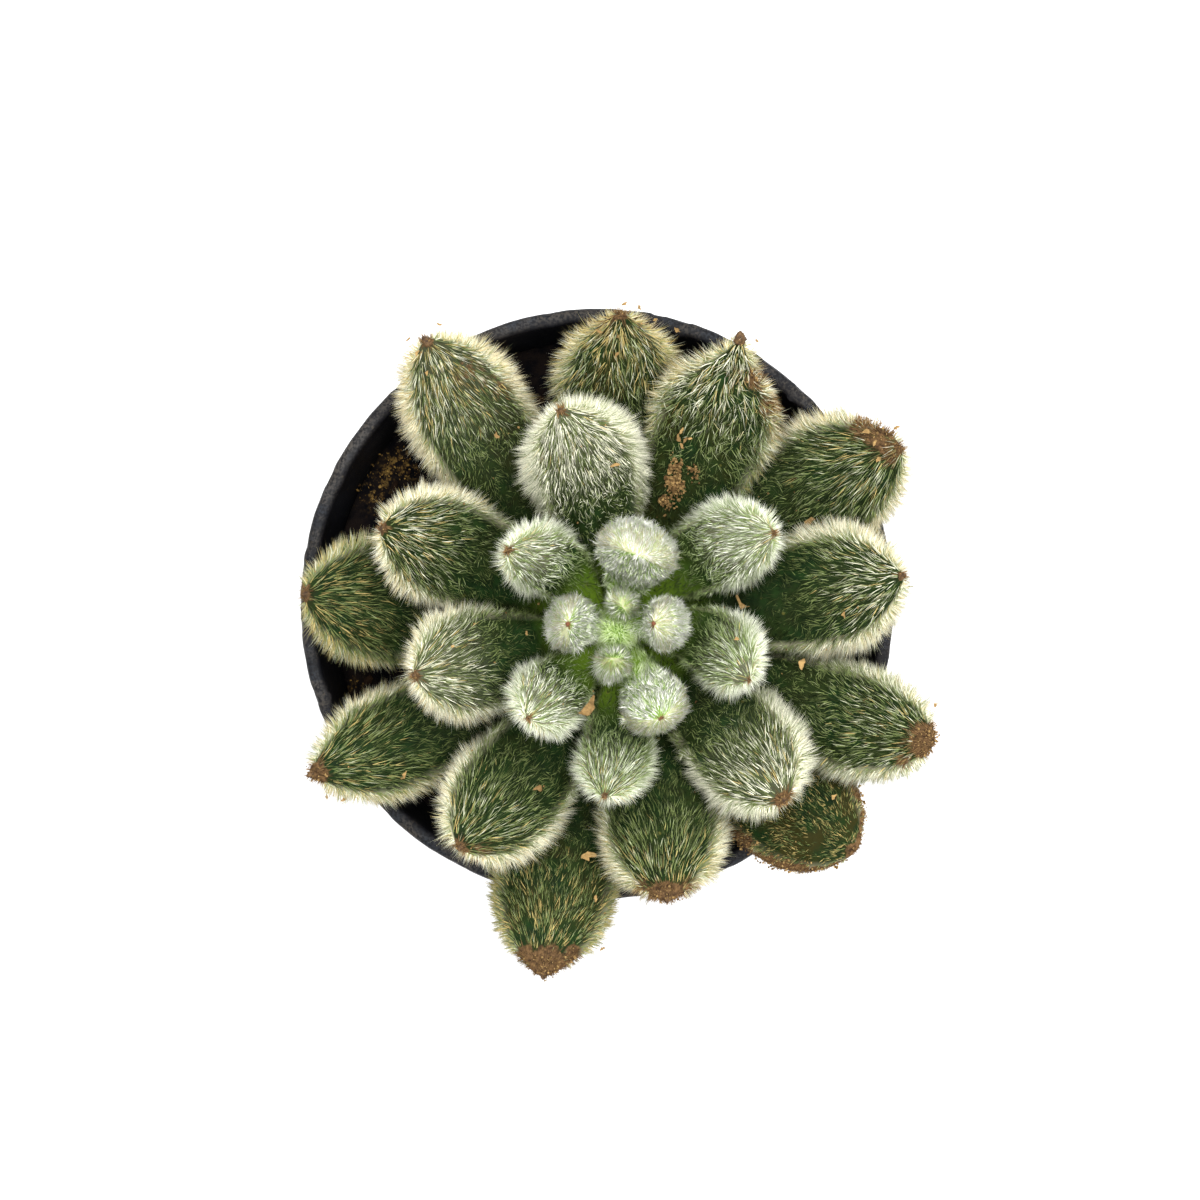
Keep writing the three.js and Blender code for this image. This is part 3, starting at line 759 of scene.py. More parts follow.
class LeafForm:
    """A leaf's fine surface through the CAD points, with what its fur needs to know at each point"""

    def __init__(self, number, around, rows_along):
        self.number = number
        self.node = f"leaf_{number:02d}"
        self.fresh = FRESHNESS[coat_of(number)]
        self.look = {**USUAL_LOOK, **(BUD_LOOK if self.fresh == 1 else {}), **LEAF_LOOKS[number]}
        fine = fine_surface(turned_rows(cad_rows(self.node)), around, rows_along)
        centre = fine.mean(1)
        walked = np.concatenate([[0], np.cumsum(np.linalg.norm(np.diff(centre, axis=0), axis=1))])
        self.along = np.repeat((walked / walked[-1])[:, None], around, 1)
        breadth = 1 - self.look["neck"] * eased(self.along, 0.76, 0.96)
        breadth = breadth * (1 + self.look["broad"] * eased(self.along, 0.35, 0.7))
        fine = centre[:, None] + (fine - centre[:, None]) * breadth[..., None]
        stretch = self.look["drawn_out"] * MM * eased(self.along, 0.75, 1.0)
        fine = fine + unit(centre[-1] - centre[-4]) * stretch[..., None]
        centre = fine.mean(1)
        turn = np.tile(turns_round(around), (rows_along, 1))
        self.edge = np.abs(np.cos(turn))
        self.upper = np.sin(turn)
        self.forward = unit(np.gradient(centre, axis=0))
        self.tip, self.foot, self.centre = fine[-1, 0], fine[0, 0], centre
        across = np.roll(fine, -1, 1) - np.roll(fine, 1, 1)
        ahead = np.gradient(fine, axis=0)
        normal = np.cross(across, ahead)
        outward = fine - centre[:, None]
        self.sign = np.sign((normal[1:-1] * outward[1:-1]).sum())
        self.normal = unit(normal * self.sign)
        self.normal[0], self.normal[-1] = -self.forward[0], self.forward[-1]
        self.points = fine + self.normal * self.ripple(fine)[..., None]
        self.points[0], self.points[-1] = self.foot, self.tip

    def ripple(self, points):
        depth = bpy.context.scene.echeveria_leaf.ripple * (1 - self.fresh)
        flat = points.reshape(-1, 3)
        wave = cloudy(flat, 420.0) + 0.5 * cloudy(flat, 900.0)
        return depth * wave.reshape(points.shape[:2])

    def felt_and_glow(self, along, edge, upper):
        """Where the fur is thickest and palest: the margins, and the underside of the leaf's end. Its rise
        towards the leaf's end is partly a thicker fringe and partly painted light, for the outer fringe that
        is lit from outside.
        """
        inner = 1 - 0.15 * self.look["trim"]
        margin = eased(edge, inner - 0.04, inner + 0.09) * (0.3 + 0.75 * eased(along, 0.3, 0.75))
        margin = margin * eased(along, 0.1, 0.3)
        under = eased(-upper, 0.05, 0.45) * eased(along, 0.6, 0.9)
        return np.maximum(margin, under) * min(self.look["fringe"], 1.0)

    def frost(self, along, upper):
        """Where pale hairs cover the upper face: its outer third"""
        return self.look["frost"] * eased(along, 0.5, 0.85) * eased(upper, -0.1, 0.2)

    def dryness(self, points, along, edge):
        """How dried the leaf is at each point: its end, its scorched patches and, on some, its margin"""
        ragged = cloudy(points, 700.0)
        outer = np.maximum(edge, eased(along, 0.86, 1.0)) + 0.16 * ragged
        dry = self.look["edge_dry"] * eased(outer, 0.82, 0.97) * eased(along, 0.3, 0.6)
        if self.look["cap"] > 0:
            away = np.linalg.norm(points - self.tip, axis=1) / (self.look["cap"] * MM * (1 + 0.4 * ragged))
            dry = np.maximum(dry, 1 - eased(away, 0.6, 1.25))
        for x, y, radius, brown in SCORCHES.get(self.number, ()):
            middle = np.array(photo_point(x, y, self.tip[2]))
            away = np.linalg.norm((points - middle)[:, :2], axis=1) / (radius * MM)
            dry = np.maximum(dry, brown * (1 - eased(away + 0.3 * ragged, 0.5, 1.2)))
        return dry


def leaf_piece(form, material):
    rows_along, around = form.along.shape
    rings = form.points[1:-1].reshape(-1, 3)
    points = np.concatenate([rings, form.points[:1, 0], form.points[-1:, 0]])
    faces = closed_faces(rows_along - 2, around, form.sign < 0)
    piece = mesh_piece(f"blade_{form.number:02d}", points, faces, material)

    def on_points(values):
        return np.concatenate([values[1:-1].ravel(), values[:1, 0], values[-1:, 0]])

    along, edge, upper = on_points(form.along), on_points(form.edge), on_points(form.upper)
    set_mask(piece, "along", along)
    set_mask(piece, "dry", form.dryness(points, along, edge))
    set_mask(piece, "felt_and_glow", np.maximum(form.felt_and_glow(along, edge, upper), 0.5 * form.frost(along, upper)))
    set_mask(piece, "olive", np.full(len(points), form.look["olive"]))
    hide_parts(form.node)
    return piece


def leaf_forms():
    """The 27 leaf forms, kept after the first call because the fur and the debris stand on them too"""
    if not leaf_forms.kept:
        for number in range(1, LEAF_COUNT + 1):
            leaf_forms.kept.append(LeafForm(number, *FINE_ROWS[age_of(number)]))
    return leaf_forms.kept


leaf_forms.kept = []


def age_of(number):
    return "old" if number <= LAST_OLD else "grown" if number <= LAST_GROWN else "young"


def coat_of(number):
    """Which skin and fur a leaf wears: the buds at the middle have their own"""
    return "bud" if number > LAST_YOUNG else age_of(number)


# Fur

def cell_area(form):
    corner, ahead = form.points[:-1], form.points[1:]
    beside = np.roll(form.points, -1, 1)[:-1]
    return np.linalg.norm(np.cross(beside - corner, ahead - corner), axis=-1)


def sample(form, count, weight, rng):
    """Random places on the leaf's surface: weight says how thickly they lie, cell by cell"""
    odds = (cell_area(form) * weight[:-1]).ravel()
    picked = rng.choice(len(odds), count, p=odds / odds.sum())
    row, turn = np.divmod(picked, weight.shape[1])
    after = (turn + 1) % weight.shape[1]
    s, t = rng.random((2, count, 1))

    def blend(values):
        values = values if values.ndim == 3 else values[..., None]
        low = values[row, turn] * (1 - s) + values[row, after] * s
        high = values[row + 1, turn] * (1 - s) + values[row + 1, after] * s
        return low * (1 - t) + high * t

    return (blend(form.points), unit(blend(form.normal)), blend(form.along)[:, 0], blend(form.edge)[:, 0],
            blend(form.upper)[:, 0])


def tufted(roots, ends, share):
    """The hairs' ends drawn together in tufts, by share of the way"""
    guides = range(0, len(roots), TUFT)
    tree = KDTree(len(guides))
    for guide in guides:
        tree.insert(roots[guide], guide)
    tree.balance()
    nearest = np.array([tree.find(root)[1] for root in roots])
    hair = ends - roots
    met = roots + 0.45 * hair + 0.55 * (ends[nearest] - roots)
    drawn = roots + hair * (1 - share) + (met - roots) * share
    reach = np.linalg.norm(hair, axis=1, keepdims=True)
    return roots + unit(drawn - roots) * reach


def swirls(points, size):
    """A direction that changes slowly from place to place: size is how far apart the changes are, in mm"""
    noise.seed_set(SWIRL_SEED)
    scale = 1 / (size * MM)
    return np.array([noise.noise_vector(Vector(p) * scale)[:] for p in points])


def locks(points):
    """A number that hairs in one lock share, from -1 to 1"""
    return np.array([noise.noise(Vector(p) / (0.7 * MM)) for p in points])


def spokes(axis):
    """Three directions across each hair"""
    helper = np.where(np.abs(axis[:, 2:]) < 0.8, [[0.0, 0.0, 1.0]], [[1.0, 0.0, 0.0]])
    first = unit(np.cross(axis, helper))
    second = np.cross(axis, first)
    turns = (0, 2 * math.pi / 3, 4 * math.pi / 3)
    return [first * math.cos(turn) + second * math.sin(turn) for turn in turns]


def hair_mesh(roots, middles, ends, radius, bent):
    """Three-sided hairs. The bent ones have a ring at the root and one at the bend, the others only one at
    the root. Returns the points, the faces, which hair each point is in and how far along it."""
    wide = radius[:, None]
    root, middle, end, thick = roots[bent], middles[bent], ends[bent], wide[bent]
    across = spokes(unit(middle - root))
    lower = [root + spoke * thick for spoke in across]
    upper = [middle + spoke * thick * 0.8 for spoke in across]
    curved = np.stack([*lower, *upper, end], 1)
    base = np.arange(len(root))[:, None] * BENT_POINTS
    quads = np.concatenate([base + row for row in ([0, 1, 4, 3], [1, 2, 5, 4], [2, 0, 3, 5])])
    caps = np.concatenate([base + row for row in ([3, 4, 6], [4, 5, 6], [5, 3, 6])])
    root, end, thick = roots[~bent], ends[~bent], wide[~bent]
    straight = np.stack([*(root + spoke * thick for spoke in spokes(unit(end - root))), end], 1)
    base = len(curved) * BENT_POINTS + np.arange(len(root))[:, None] * STRAIGHT_POINTS
    cones = np.concatenate([base + row for row in ([0, 1, 3], [1, 2, 3], [2, 0, 3])])
    points = np.concatenate([curved.reshape(-1, 3), straight.reshape(-1, 3)])
    hair = np.concatenate([np.repeat(np.flatnonzero(bent), BENT_POINTS),
                           np.repeat(np.flatnonzero(~bent), STRAIGHT_POINTS)])
    share = np.concatenate([np.tile([0.0, 0, 0, 0.5, 0.5, 0.5, 1.0], len(curved)),
                            np.tile([0.0, 0, 0, 1.0], len(straight))])
    return points, [part for part in (quads, np.concatenate([caps, cones])) if len(part)], hair, share


def in_cell(cell, share, cells):
    """A place in one of the cells along the map's side, a little inside its edges"""
    return (cell + 0.1 + 0.8 * share) / cells


def coat_piece(name, hairs, looks, material):
    """A mesh of hairs with their colours. Each look (tint, gold, dry) is rounded to a few steps, so that the
    hairs fall in 72 kinds, each with its own patch of the map."""
    points, faces, hair, share = hairs
    piece = mesh_piece(name, points, faces, material)
    steps = []
    for mask, look, kinds in zip(("tint", "gold", "dry"), looks, (TINTS, GOLDS, DRY_STEPS)):
        step = np.round(np.clip(look, 0, 1) * (kinds - 1))
        set_mask(piece, mask, (step / (kinds - 1))[hair])
        steps.append(step)
    set_mask(piece, "share", share)
    corners = corner_points(piece)
    tint, gold, dry = (step[hair[corners]] for step in steps)
    across = (np.arange(len(corners)) % 3) / 2
    set_map(piece, np.stack([in_cell(gold * DRY_STEPS + dry, across, GOLDS * DRY_STEPS),
                             in_cell(tint, share[corners], TINTS)], 1))
    return piece


def hairs_per_mm2(form):
    """How thickly the hairs stand at each point: most on the margins and on the frosted ends"""
    bare = 0.4 if form.number <= LAST_OLD else 0.5
    thinner = 1 - bare + bare * eased(form.along, 0.1, 0.45)
    if form.fresh == 1:
        round_tip = 1 - 0.3 * eased(form.along, 0.92, 1.0) * (form.look["tip"] > 0)
        return BUD_HAIRS * round_tip * thinner * form.look["density"]
    frost = form.frost(form.along, form.upper)
    above = (FACE_HAIRS + 2 * eased(form.along, 0.3, 0.9)) * (1 + 0.9 * frost)
    under = UNDERSIDE_HAIRS + 5 * eased(form.along, 0.5, 0.9)
    on_top = eased(form.upper, -0.1, 0.2)
    fringe = FRINGE_HAIRS * form.felt_and_glow(form.along, form.edge, form.upper)
    return (under * (1 - on_top) + above * on_top + fringe) * thinner * form.look["density"]


def combed(form, roots, normal, along, stand, rng):
    """Which way each hair leaves the skin and which way it bends. The hairs lie every way at the leaf's
    foot, away from its tip on its outer half, and stand out like a fan in the fringe round its end."""
    bud = form.fresh == 1
    hidden = form.tip + form.forward[-1] * 0.5 * MM
    sideways = unit(np.cross(form.forward[-1], [0.0, 0.0, 1.0]))
    part = form.look["part"] * MM
    away = unit(roots - hidden - sideways * np.clip((roots - hidden) @ sideways, -part, part)[:, None])
    outer = (eased(along, 0.6, 0.95) if bud else eased(along, 0.50, 0.85))[:, None]
    comb = away * (0.35 + 0.65 * outer) + swirls(roots, 1.2) * (1 - outer)
    comb = comb - normal * (comb * normal).sum(1, keepdims=True)
    comb = unit(comb) * np.minimum(1, 2.5 * np.linalg.norm(comb, axis=1, keepdims=True))
    hub = form.centre[int(0.72 * len(form.centre))]
    fan = unit(unit(roots - hub) + 0.30 * away)
    out = np.zeros_like(outer) if bud else stand * eased(along, 0.45, 0.7)[:, None]
    comb = comb * (1 - out) + fan * out
    if bud:
        lift = (0.45 - 0.15 * outer) * form.look["upright"]
    else:
        lift = (0.48 - 0.16 * outer) * (1 - stand) + 0.62 * stand
    lean = 0.7 + 0.3 * np.maximum(outer, stand)
    stray = unit(rng.normal(size=roots.shape)) * (0.10 + 0.32 * rng.random((len(roots), 1)))
    stray = stray * (1 - 0.3 * outer * (1 - stand))
    stray = stray + 0.28 * swirls(roots, 2.2) + (0.18 + 0.27 * stand) * swirls(roots, 0.7)
    stray = stray * form.look["tousle"]
    if bud:
        stray = stray * 0.6
    rise = unit(normal * lift * 1.25 + comb * lean * 0.8 + stray)
    bend = unit(normal * lift * 0.35 + comb * lean * 1.15 + stray * 1.8)
    return rise, bend


def hair_tints(form, roots, along, upper, felt_and_glow, rng):
    """How pale each hair is. On the faces some are bright, partly as painted highlights, and the others
    hardly show, and those that grow near each other are alike. Fringe and frost are palest, the fringe
    brighter still as painted light, and the buds are pale all over."""
    look, fresh, count = form.look, form.fresh, len(roots)
    vary = np.clip(0.8 * rng.random(count) + 0.2 * (0.5 + 0.9 * locks(roots)), 0, 1)
    # Painted shade: the hairs are darker towards the leaf's foot, which lies deep among the other leaves
    reached = eased(along, look["pale_from"], 0.95) if fresh < 1 else eased(along, 0.25, 0.6)
    tint = look["low"] + (look["high"] - look["low"]) * reached
    # Partly painted highlights: a share of the hairs is made bright, standing in for glints on shiny hairs,
    # and the others are dark
    bright = np.where(vary > 0.50, 0.86 + 0.72 * rng.random(count), 0.10 + 0.45 * rng.random(count))
    if 0 < fresh < 1:
        bright = 0.35 + 0.65 * bright
    if fresh == 1:
        tint = tint * np.where(vary > 0.42, 0.92 + 0.30 * rng.random(count), 0.25 + 0.5 * rng.random(count))
        return tint * (1 - look["heart"] * eased(along, 0.80, 0.97))
    tint = tint * bright
    # Fringe hairs: pale cream, pushed brighter still as painted light, for light that shines through them
    # from the floor and from outside
    tint = tint + (1.15 - 0.5 * rng.random(count) - 0.25 * locks(roots) - tint) * felt_and_glow
    return tint + (0.30 + 0.70 * vary - tint) * form.frost(along, upper) * 0.85


def fur_piece(form, material):
    """One leaf's hairs: a fringe that stands out from its margins, and fur combed away from its tip"""
    fur = bpy.context.scene.echeveria_fur
    rng = np.random.default_rng(FUR_SEED + form.number)
    look, fresh = form.look, form.fresh
    per_mm2 = hairs_per_mm2(form)
    count = int((cell_area(form) / MM**2 * per_mm2[:-1]).sum() * fur.density)
    roots, normal, along, edge, upper = sample(form, count, per_mm2, rng)
    felt_and_glow = form.felt_and_glow(along, edge, upper)
    dry = form.dryness(roots, along, edge)

    stand = np.maximum(felt_and_glow, eased(edge, 0.75, 0.97) * 0.8)[:, None]
    rise, bend = combed(form, roots, normal, along, stand, rng)
    length = (fur.old_length * (1 - fresh) + fur.young_length * fresh) * look["length"]
    reach = 0.50 + 0.45 * eased(along, 0.45, 0.85)
    reach = reach + (0.8 - reach) * np.maximum(felt_and_glow, fresh == 1)
    length = length * (0.5 + 0.7 * rng.random(count)) * reach
    length = length * (1 - 0.5 * dry) * (1 + 0.6 * felt_and_glow * locks(roots))
    roots = roots - normal * 0.06 * MM
    middles = roots + rise * (length * 0.5)[:, None]
    ends = middles + bend * (length * 0.5)[:, None]
    outer = eased(along, 0.4, 0.8)[:, None]
    tuft = (0.05 + 0.20 * outer) * (1 - stand) + (0.35 if fresh == 1 else 0.8) * stand
    ends = tufted(roots, ends, tuft)
    middles = (middles + roots + (ends - roots) * 0.5) / 2
    radius = fur.thickness / 2 * (0.6 + 0.55 * rng.random(count)) * (0.85 + 0.2 * eased(along, 0.4, 0.9))
    radius = radius * (1 - 0.25 * np.maximum(felt_and_glow, 0.5 * fresh)) * look["width"]
    bent = (upper > 0.1) & (felt_and_glow < 0.3) & (rng.random(count) < 0.03 + 0.25 * eased(along, 0.4, 0.8))

    tint = hair_tints(form, roots, along, upper, felt_and_glow, rng)
    browned = eased(dry + 0.5 * (rng.random(count) - 0.5), 0.25, 0.75)
    tint = tint + look["sere"] * browned * rng.random(count)
    odds = look["gold"] * eased(along, look["gilt"], look["gilt"] + 0.4) * (1 - 0.3 * felt_and_glow)
    golden = rng.random(count) < odds * (1 + 1.6 * locks(roots + 0.05))
    gold = golden * (0.3 + 0.7 * rng.random(count))
    gold = np.maximum(gold, 1.2 * felt_and_glow * look["tan"] * rng.random(count))
    return coat_piece(f"fur_{form.number:02d}", hair_mesh(roots, middles, ends, radius, bent),
                      (tint, gold, browned), material)


def stem_fuzz():
    """Short fuzz on the growing point, among the feet of the buds"""
    fur = bpy.context.scene.echeveria_fur
    rng = np.random.default_rng(STEM_SEED)
    stem = bpy.data.objects["fleshy_stem"].data
    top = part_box("stem")[1].z
    faces = [(p.center.copy(), p.normal.copy(), p.area) for p in stem.polygons if p.center.z > top - 7 * MM]
    odds = np.array([area for _, _, area in faces])
    count = int(odds.sum() / MM**2 * STEM_HAIRS)
    picked = rng.choice(len(faces), count, p=odds / odds.sum())
    roots = np.array([faces[i][0] for i in picked]) + rng.normal(size=(count, 3)) * 0.12 * MM
    normal = np.array([faces[i][1] for i in picked])
    rise = unit(normal + [0, 0, 0.6] + 0.45 * rng.normal(size=(count, 3)))
    length = fur.young_length * (0.6 + 0.7 * rng.random(count))
    ends = roots + rise * length[:, None]
    radius = np.full(count, fur.thickness * 0.4)
    hairs = hair_mesh(roots, roots, ends, radius, np.zeros(count, bool))
    none = np.zeros(count)
    looks = (0.20 + 0.55 * rng.random(count), none, none)
    return coat_piece("fur_growing_point", hairs, looks, bpy.data.materials["bud_fur"])


# Dried tips and debris

def lump(rng, size, flatness):
    """Points and faces of one irregular crumb"""
    bm = bmesh.new()
    bmesh.ops.create_icosphere(bm, subdivisions=1, radius=size)
    points, faces = points_and_faces(bm)
    points = points * (0.6 + 0.8 * rng.random((len(points), 1)))
    points[:, 2] *= flatness
    return points, faces


def turned_at_random(points, rng):
    axes, _ = np.linalg.qr(rng.normal(size=(3, 3)))
    return points @ axes


def crumb(rng, place, size, flatness):
    """One crumb at a place, turned at random"""
    points, faces = lump(rng, size, flatness)
    return turned_at_random(points, rng) + place, faces


def piece_of_parts(name, parts, material, mask="tint", smooth=False):
    """One piece made of parts, each given as its points, its faces and the number that its points hold as
    the mask"""
    bases = np.cumsum([0] + [len(points) for points, _, _ in parts])
    points = np.concatenate([points for points, _, _ in parts])
    faces = np.concatenate([faces + base for (_, faces, _), base in zip(parts, bases)])
    piece = mesh_piece(name, points, [faces], material, smooth)
    set_mask(piece, mask, np.concatenate([np.full(len(points), number) for points, _, number in parts]))


def dried_tip(form, rng):
    """A small blunt horn at the end of a leaf, where its point has dried"""
    size = form.look["tip"] * MM
    sides, rings = 9, 6
    forward = form.forward[-1]
    side = unit(np.cross(forward, [0.0, 0.0, 1.0]))
    up = np.cross(side, forward)
    start = form.tip - forward * size * 0.5
    bend = side * rng.normal() * 0.12 + up * (0.10 + 0.1 * rng.random())
    turn = turns_round(sides)
    circle = side * np.cos(turn)[:, None] + up * np.sin(turn)[:, None]
    points = []
    for ring in range(rings):
        share = ring / rings
        radius = size * 0.46 * (1 - share**2.2) * (0.8 + 0.4 * rng.random(sides))
        points.append(start + (forward + bend * share) * size * share + circle * radius[:, None])
    points = np.concatenate([*points, [start + (forward + bend) * size], [start]])
    tris = []
    for ring in range(rings - 1):
        for i in range(sides):
            j = (i + 1) % sides
            a, b = ring * sides + i, ring * sides + j
            tris += [[a, b, b + sides], [a, b + sides, a + sides]]
    last, top, foot = (rings - 1) * sides, rings * sides, rings * sides + 1
    tris += [[last + i, last + (i + 1) % sides, top] for i in range(sides)]
    tris += [[(i + 1) % sides, i, foot] for i in range(sides)]
    ruddy = 0.85 if form.fresh == 1 else 0.0
    return points, np.array(tris), ruddy


def tree_of(names):
    """What a sight line can meet: the named pieces as one search tree"""
    points, faces = [], []
    for name in names:
        mesh = bpy.data.objects[name].data
        base = len(points)
        points += [v.co.copy() for v in mesh.vertices]
        faces += [[base + i for i in p.vertices] for p in mesh.polygons]
    return BVHTree.FromPolygons(points, faces)


def flake(rng, length, width, curl):
    """A thin curled scale with a torn outline, as points and faces round both of its sides"""
    steps, thick = 6, 0.03 * MM
    torn = 0.15 if length > 2.5 * MM else 0.45
    rows = []
    for i in range(steps + 1):
        share = i / steps
        half = width / 2 * math.sin(math.pi * (0.06 + 0.88 * share))
        left, right = half * (1.2 - torn * 2 * rng.random(2))
        angle = curl * (share - 0.5)
        x = length * math.sin(angle) / curl + 0.08 * length * rng.normal()
        z = length * (1 - math.cos(angle)) / curl
        bow = 0.16 * curl * length * (1 - (2 * share - 1) ** 2)
        near, far = bow - left, bow + right
        rows.append([[x, near, z], [x, far, z], [x, far, z + thick], [x, near, z + thick]])
    points = np.array(rows).reshape(-1, 3)
    quads = []
    for i in range(steps):
        for k in range(4):
            a, b = i * 4 + k, i * 4 + (k + 1) % 4
            quads += [[a, b, b + 4], [a, b + 4, a + 4]]
    end = steps * 4
    quads += [[0, 2, 1], [0, 3, 2], [end, end + 1, end + 2], [end, end + 2, end + 3]]
    return points - points.mean(0), np.array(quads)


def lying_at(tree, x, y, height):
    """Where something that the photograph shows at x, y lies: on the first surface that its line of sight
    meets, or in the fringe beside the nearest one. Returns the place, held up by height, and the way the
    surface faces."""
    place, normal, _, _ = tree.ray_cast(*photo_ray(x, y))
    if place is None:
        guess = photo_point(x, y, LEAF_HEIGHT)
        for _ in range(4):
            near, normal, _, _ = tree.find_nearest(guess)
            guess = photo_point(x, y, near.z)
        place = near + (guess - near).normalized() * min((guess - near).length, 0.5 * MM)
        height = min(height, 0.3 * MM)
    return np.array(place + normal * height), np.array(normal)


def laid(points, place, normal, angle):
    """Points turned so that they lie on a surface that faces normal, pointing the way of angle"""
    ahead = np.array([math.cos(angle), math.sin(angle), 0.0])
    ahead = unit(ahead - normal * (ahead @ normal))
    return points @ np.stack([ahead, np.cross(normal, ahead), normal]) + place


def flake_parts(tree, rng):
    parts = []
    for x, y, length, width, angle, curl, rust in FLAKES:
        points, faces = flake(rng, length * MM, width * MM, curl)
        place, normal = lying_at(tree, x, y, 0.2 * MM)
        normal = unit(normal + [0, 0, 1.5] + 0.3 * rng.normal(size=3))
        place = place + normal * (0.6 + 0.35 * length) * MM
        parts.append((laid(points, place, normal, math.radians(angle)), faces, rust))
    return parts


def clump_parts(tree, rng):
    parts = []
    for x, y, count in CLUMP:
        for _ in range(count):
            spot = np.array([x, y]) + rng.normal(size=2) * (3.4, 4.4)
            place, _ = lying_at(tree, *spot, 0.3 * MM)
            points, faces = crumb(rng, place, (0.11 + 0.18 * rng.random() ** 2) * MM, 0.6)
            lift = 0.7 * rng.random() * MM
            parts.append((points + [0, 0, lift], faces, 0.25 + 0.75 * rng.random()))
    return parts


def grain_parts(count, rng):
    """Fine crumbs in the fur, and thickly on the dried ends, which they make rough"""
    parts = []
    forms = [form for form in leaf_forms() if form.number <= LAST_YOUNG]
    areas = [cell_area(form) / MM**2 for form in forms]
    total = sum(area.sum() for area in areas)
    for form, area in zip(forms, areas):
        age = 1.5 if form.number <= LAST_OLD else 0.7
        shape = form.along.shape
        dry = form.dryness(form.points.reshape(-1, 3), form.along.ravel(), form.edge.ravel()).reshape(shape)
        on_top = eased(form.upper, -0.5, 0.0)
        weight = (count / total * age * (0.4 + form.along) + 9.0 * eased(dry, 0.35, 0.8)) * on_top
        some = int((area * weight[:-1]).sum())
        roots, normal = sample(form, some, weight, rng)[:2]
        for root, out in zip(roots, normal):
            points, faces = lump(rng, (0.06 + 0.11 * rng.random() ** 2) * MM, 0.6)
            place = root + out * (0.05 + 0.45 * rng.random()) * MM
            rusty = 0.55 + 0.45 * rng.random() if rng.random() < 0.6 else 0.4 * rng.random()
            parts.append((turned_at_random(points, rng) + place, faces, rusty))
    return parts


# Pot, soil and stem

def pot_profile(high):
    """The pot's section from the middle of its underside, outside and over the rim, to its inner floor"""
    rim, top = high.x / MM, high.z / MM
    foot = 24.0
    section = [
        (0, 0), (foot - 2.6, 0), (foot - 1.2, 0), (foot - 0.55, 0.12), (foot - 0.15, 0.5), (foot, 1.2),
        (foot + 0.35, 4.0), (30.25, top - 9.15), (30.5, top - 9.0), (31.4, top - 8.35), (31.7, top - 8.0),
        (rim - 0.5, top - 7.4), (rim - 0.48, top - 2.5), (rim - 0.4, top - 2.25), (rim - 0.05, top - 1.95),
        (rim, top - 1.75), (rim, top - 0.6), (rim - 0.08, top - 0.3), (rim - 0.25, top - 0.1),
        (rim - 0.5, top), (rim - 1.1, top), (rim - 1.35, top - 0.1), (rim - 1.55, top - 0.35),
        (rim - 1.62, top - 0.8), (rim - 1.9, top - 3.0), (29.45, top - 9.0), (23.0, 1.9), (22.5, 1.4),
        (0, 1.4),
    ]
    return np.array(section) * MM


def pot_piece():
    """The nursery pot, turned from its section, with drainage slots and a worn rim"""
    pot = bpy.context.scene.echeveria_pot
    rng = np.random.default_rng(POT_SEED)
    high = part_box("pot")[1]
    profile = pot_profile(high)
    sides = 480
    turn = turns_round(sides)
    ring = np.stack([np.cos(turn), np.sin(turn)], -1)
    radius = np.repeat(profile[1:-1, :1], sides, 1)
    height = np.repeat(profile[1:-1, 1:], sides, 1)
    at_rim = eased(height, high.z - 2.0 * MM, high.z - 0.2 * MM)
    dent = np.zeros(sides)
    for middle in rng.random(pot.nicks) * 2 * math.pi:
        away = np.abs((turn - middle + math.pi) % (2 * math.pi) - math.pi)
        dent += np.exp(-((away / (0.012 + 0.05 * rng.random() ** 2)) ** 6)) * (0.2 + rng.random())
    dent = np.minimum(dent, 1.3)
    wave = [noise.noise(Vector((math.cos(angle), math.sin(angle), 0)) * 14.0) for angle in turn]
    dent += 0.5 * np.array(wave)
    radius -= at_rim * dent * pot.nick_depth * 0.8
    oval = 0.10 * np.cos(2 * (turn - math.radians(20))) + 0.05
    radius += eased(height, high.z - 9.5 * MM, high.z - 6.0 * MM) * oval * MM
    height -= eased(height, high.z - 0.5 * MM, high.z) * dent * pot.nick_depth * 0.6
    rings = np.stack([radius * ring[:, 0], radius * ring[:, 1], height], -1)
    points = np.concatenate([rings.reshape(-1, 3), [[0, 0, 0]], [[0, 0, profile[-1, 1]]]])
    faces = closed_faces(len(rings), sides)
    piece = mesh_piece("nursery_pot", points, faces, plastic_material())
    cut_slots(piece)
    places = np.array([v.co[:] for v in piece.data.vertices])
    outward = eased(np.hypot(places[:, 0], places[:, 1]), high.x - 1.5 * MM, high.x - 0.4 * MM)
    on_top = eased(places[:, 2], high.z - 0.7 * MM, high.z - 0.05 * MM)
    set_mask(piece, "rim", on_top * (0.25 + 0.75 * outward))
    piece.data.set_sharp_from_angle(angle=math.radians(40))
    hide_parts("pot")
    return piece


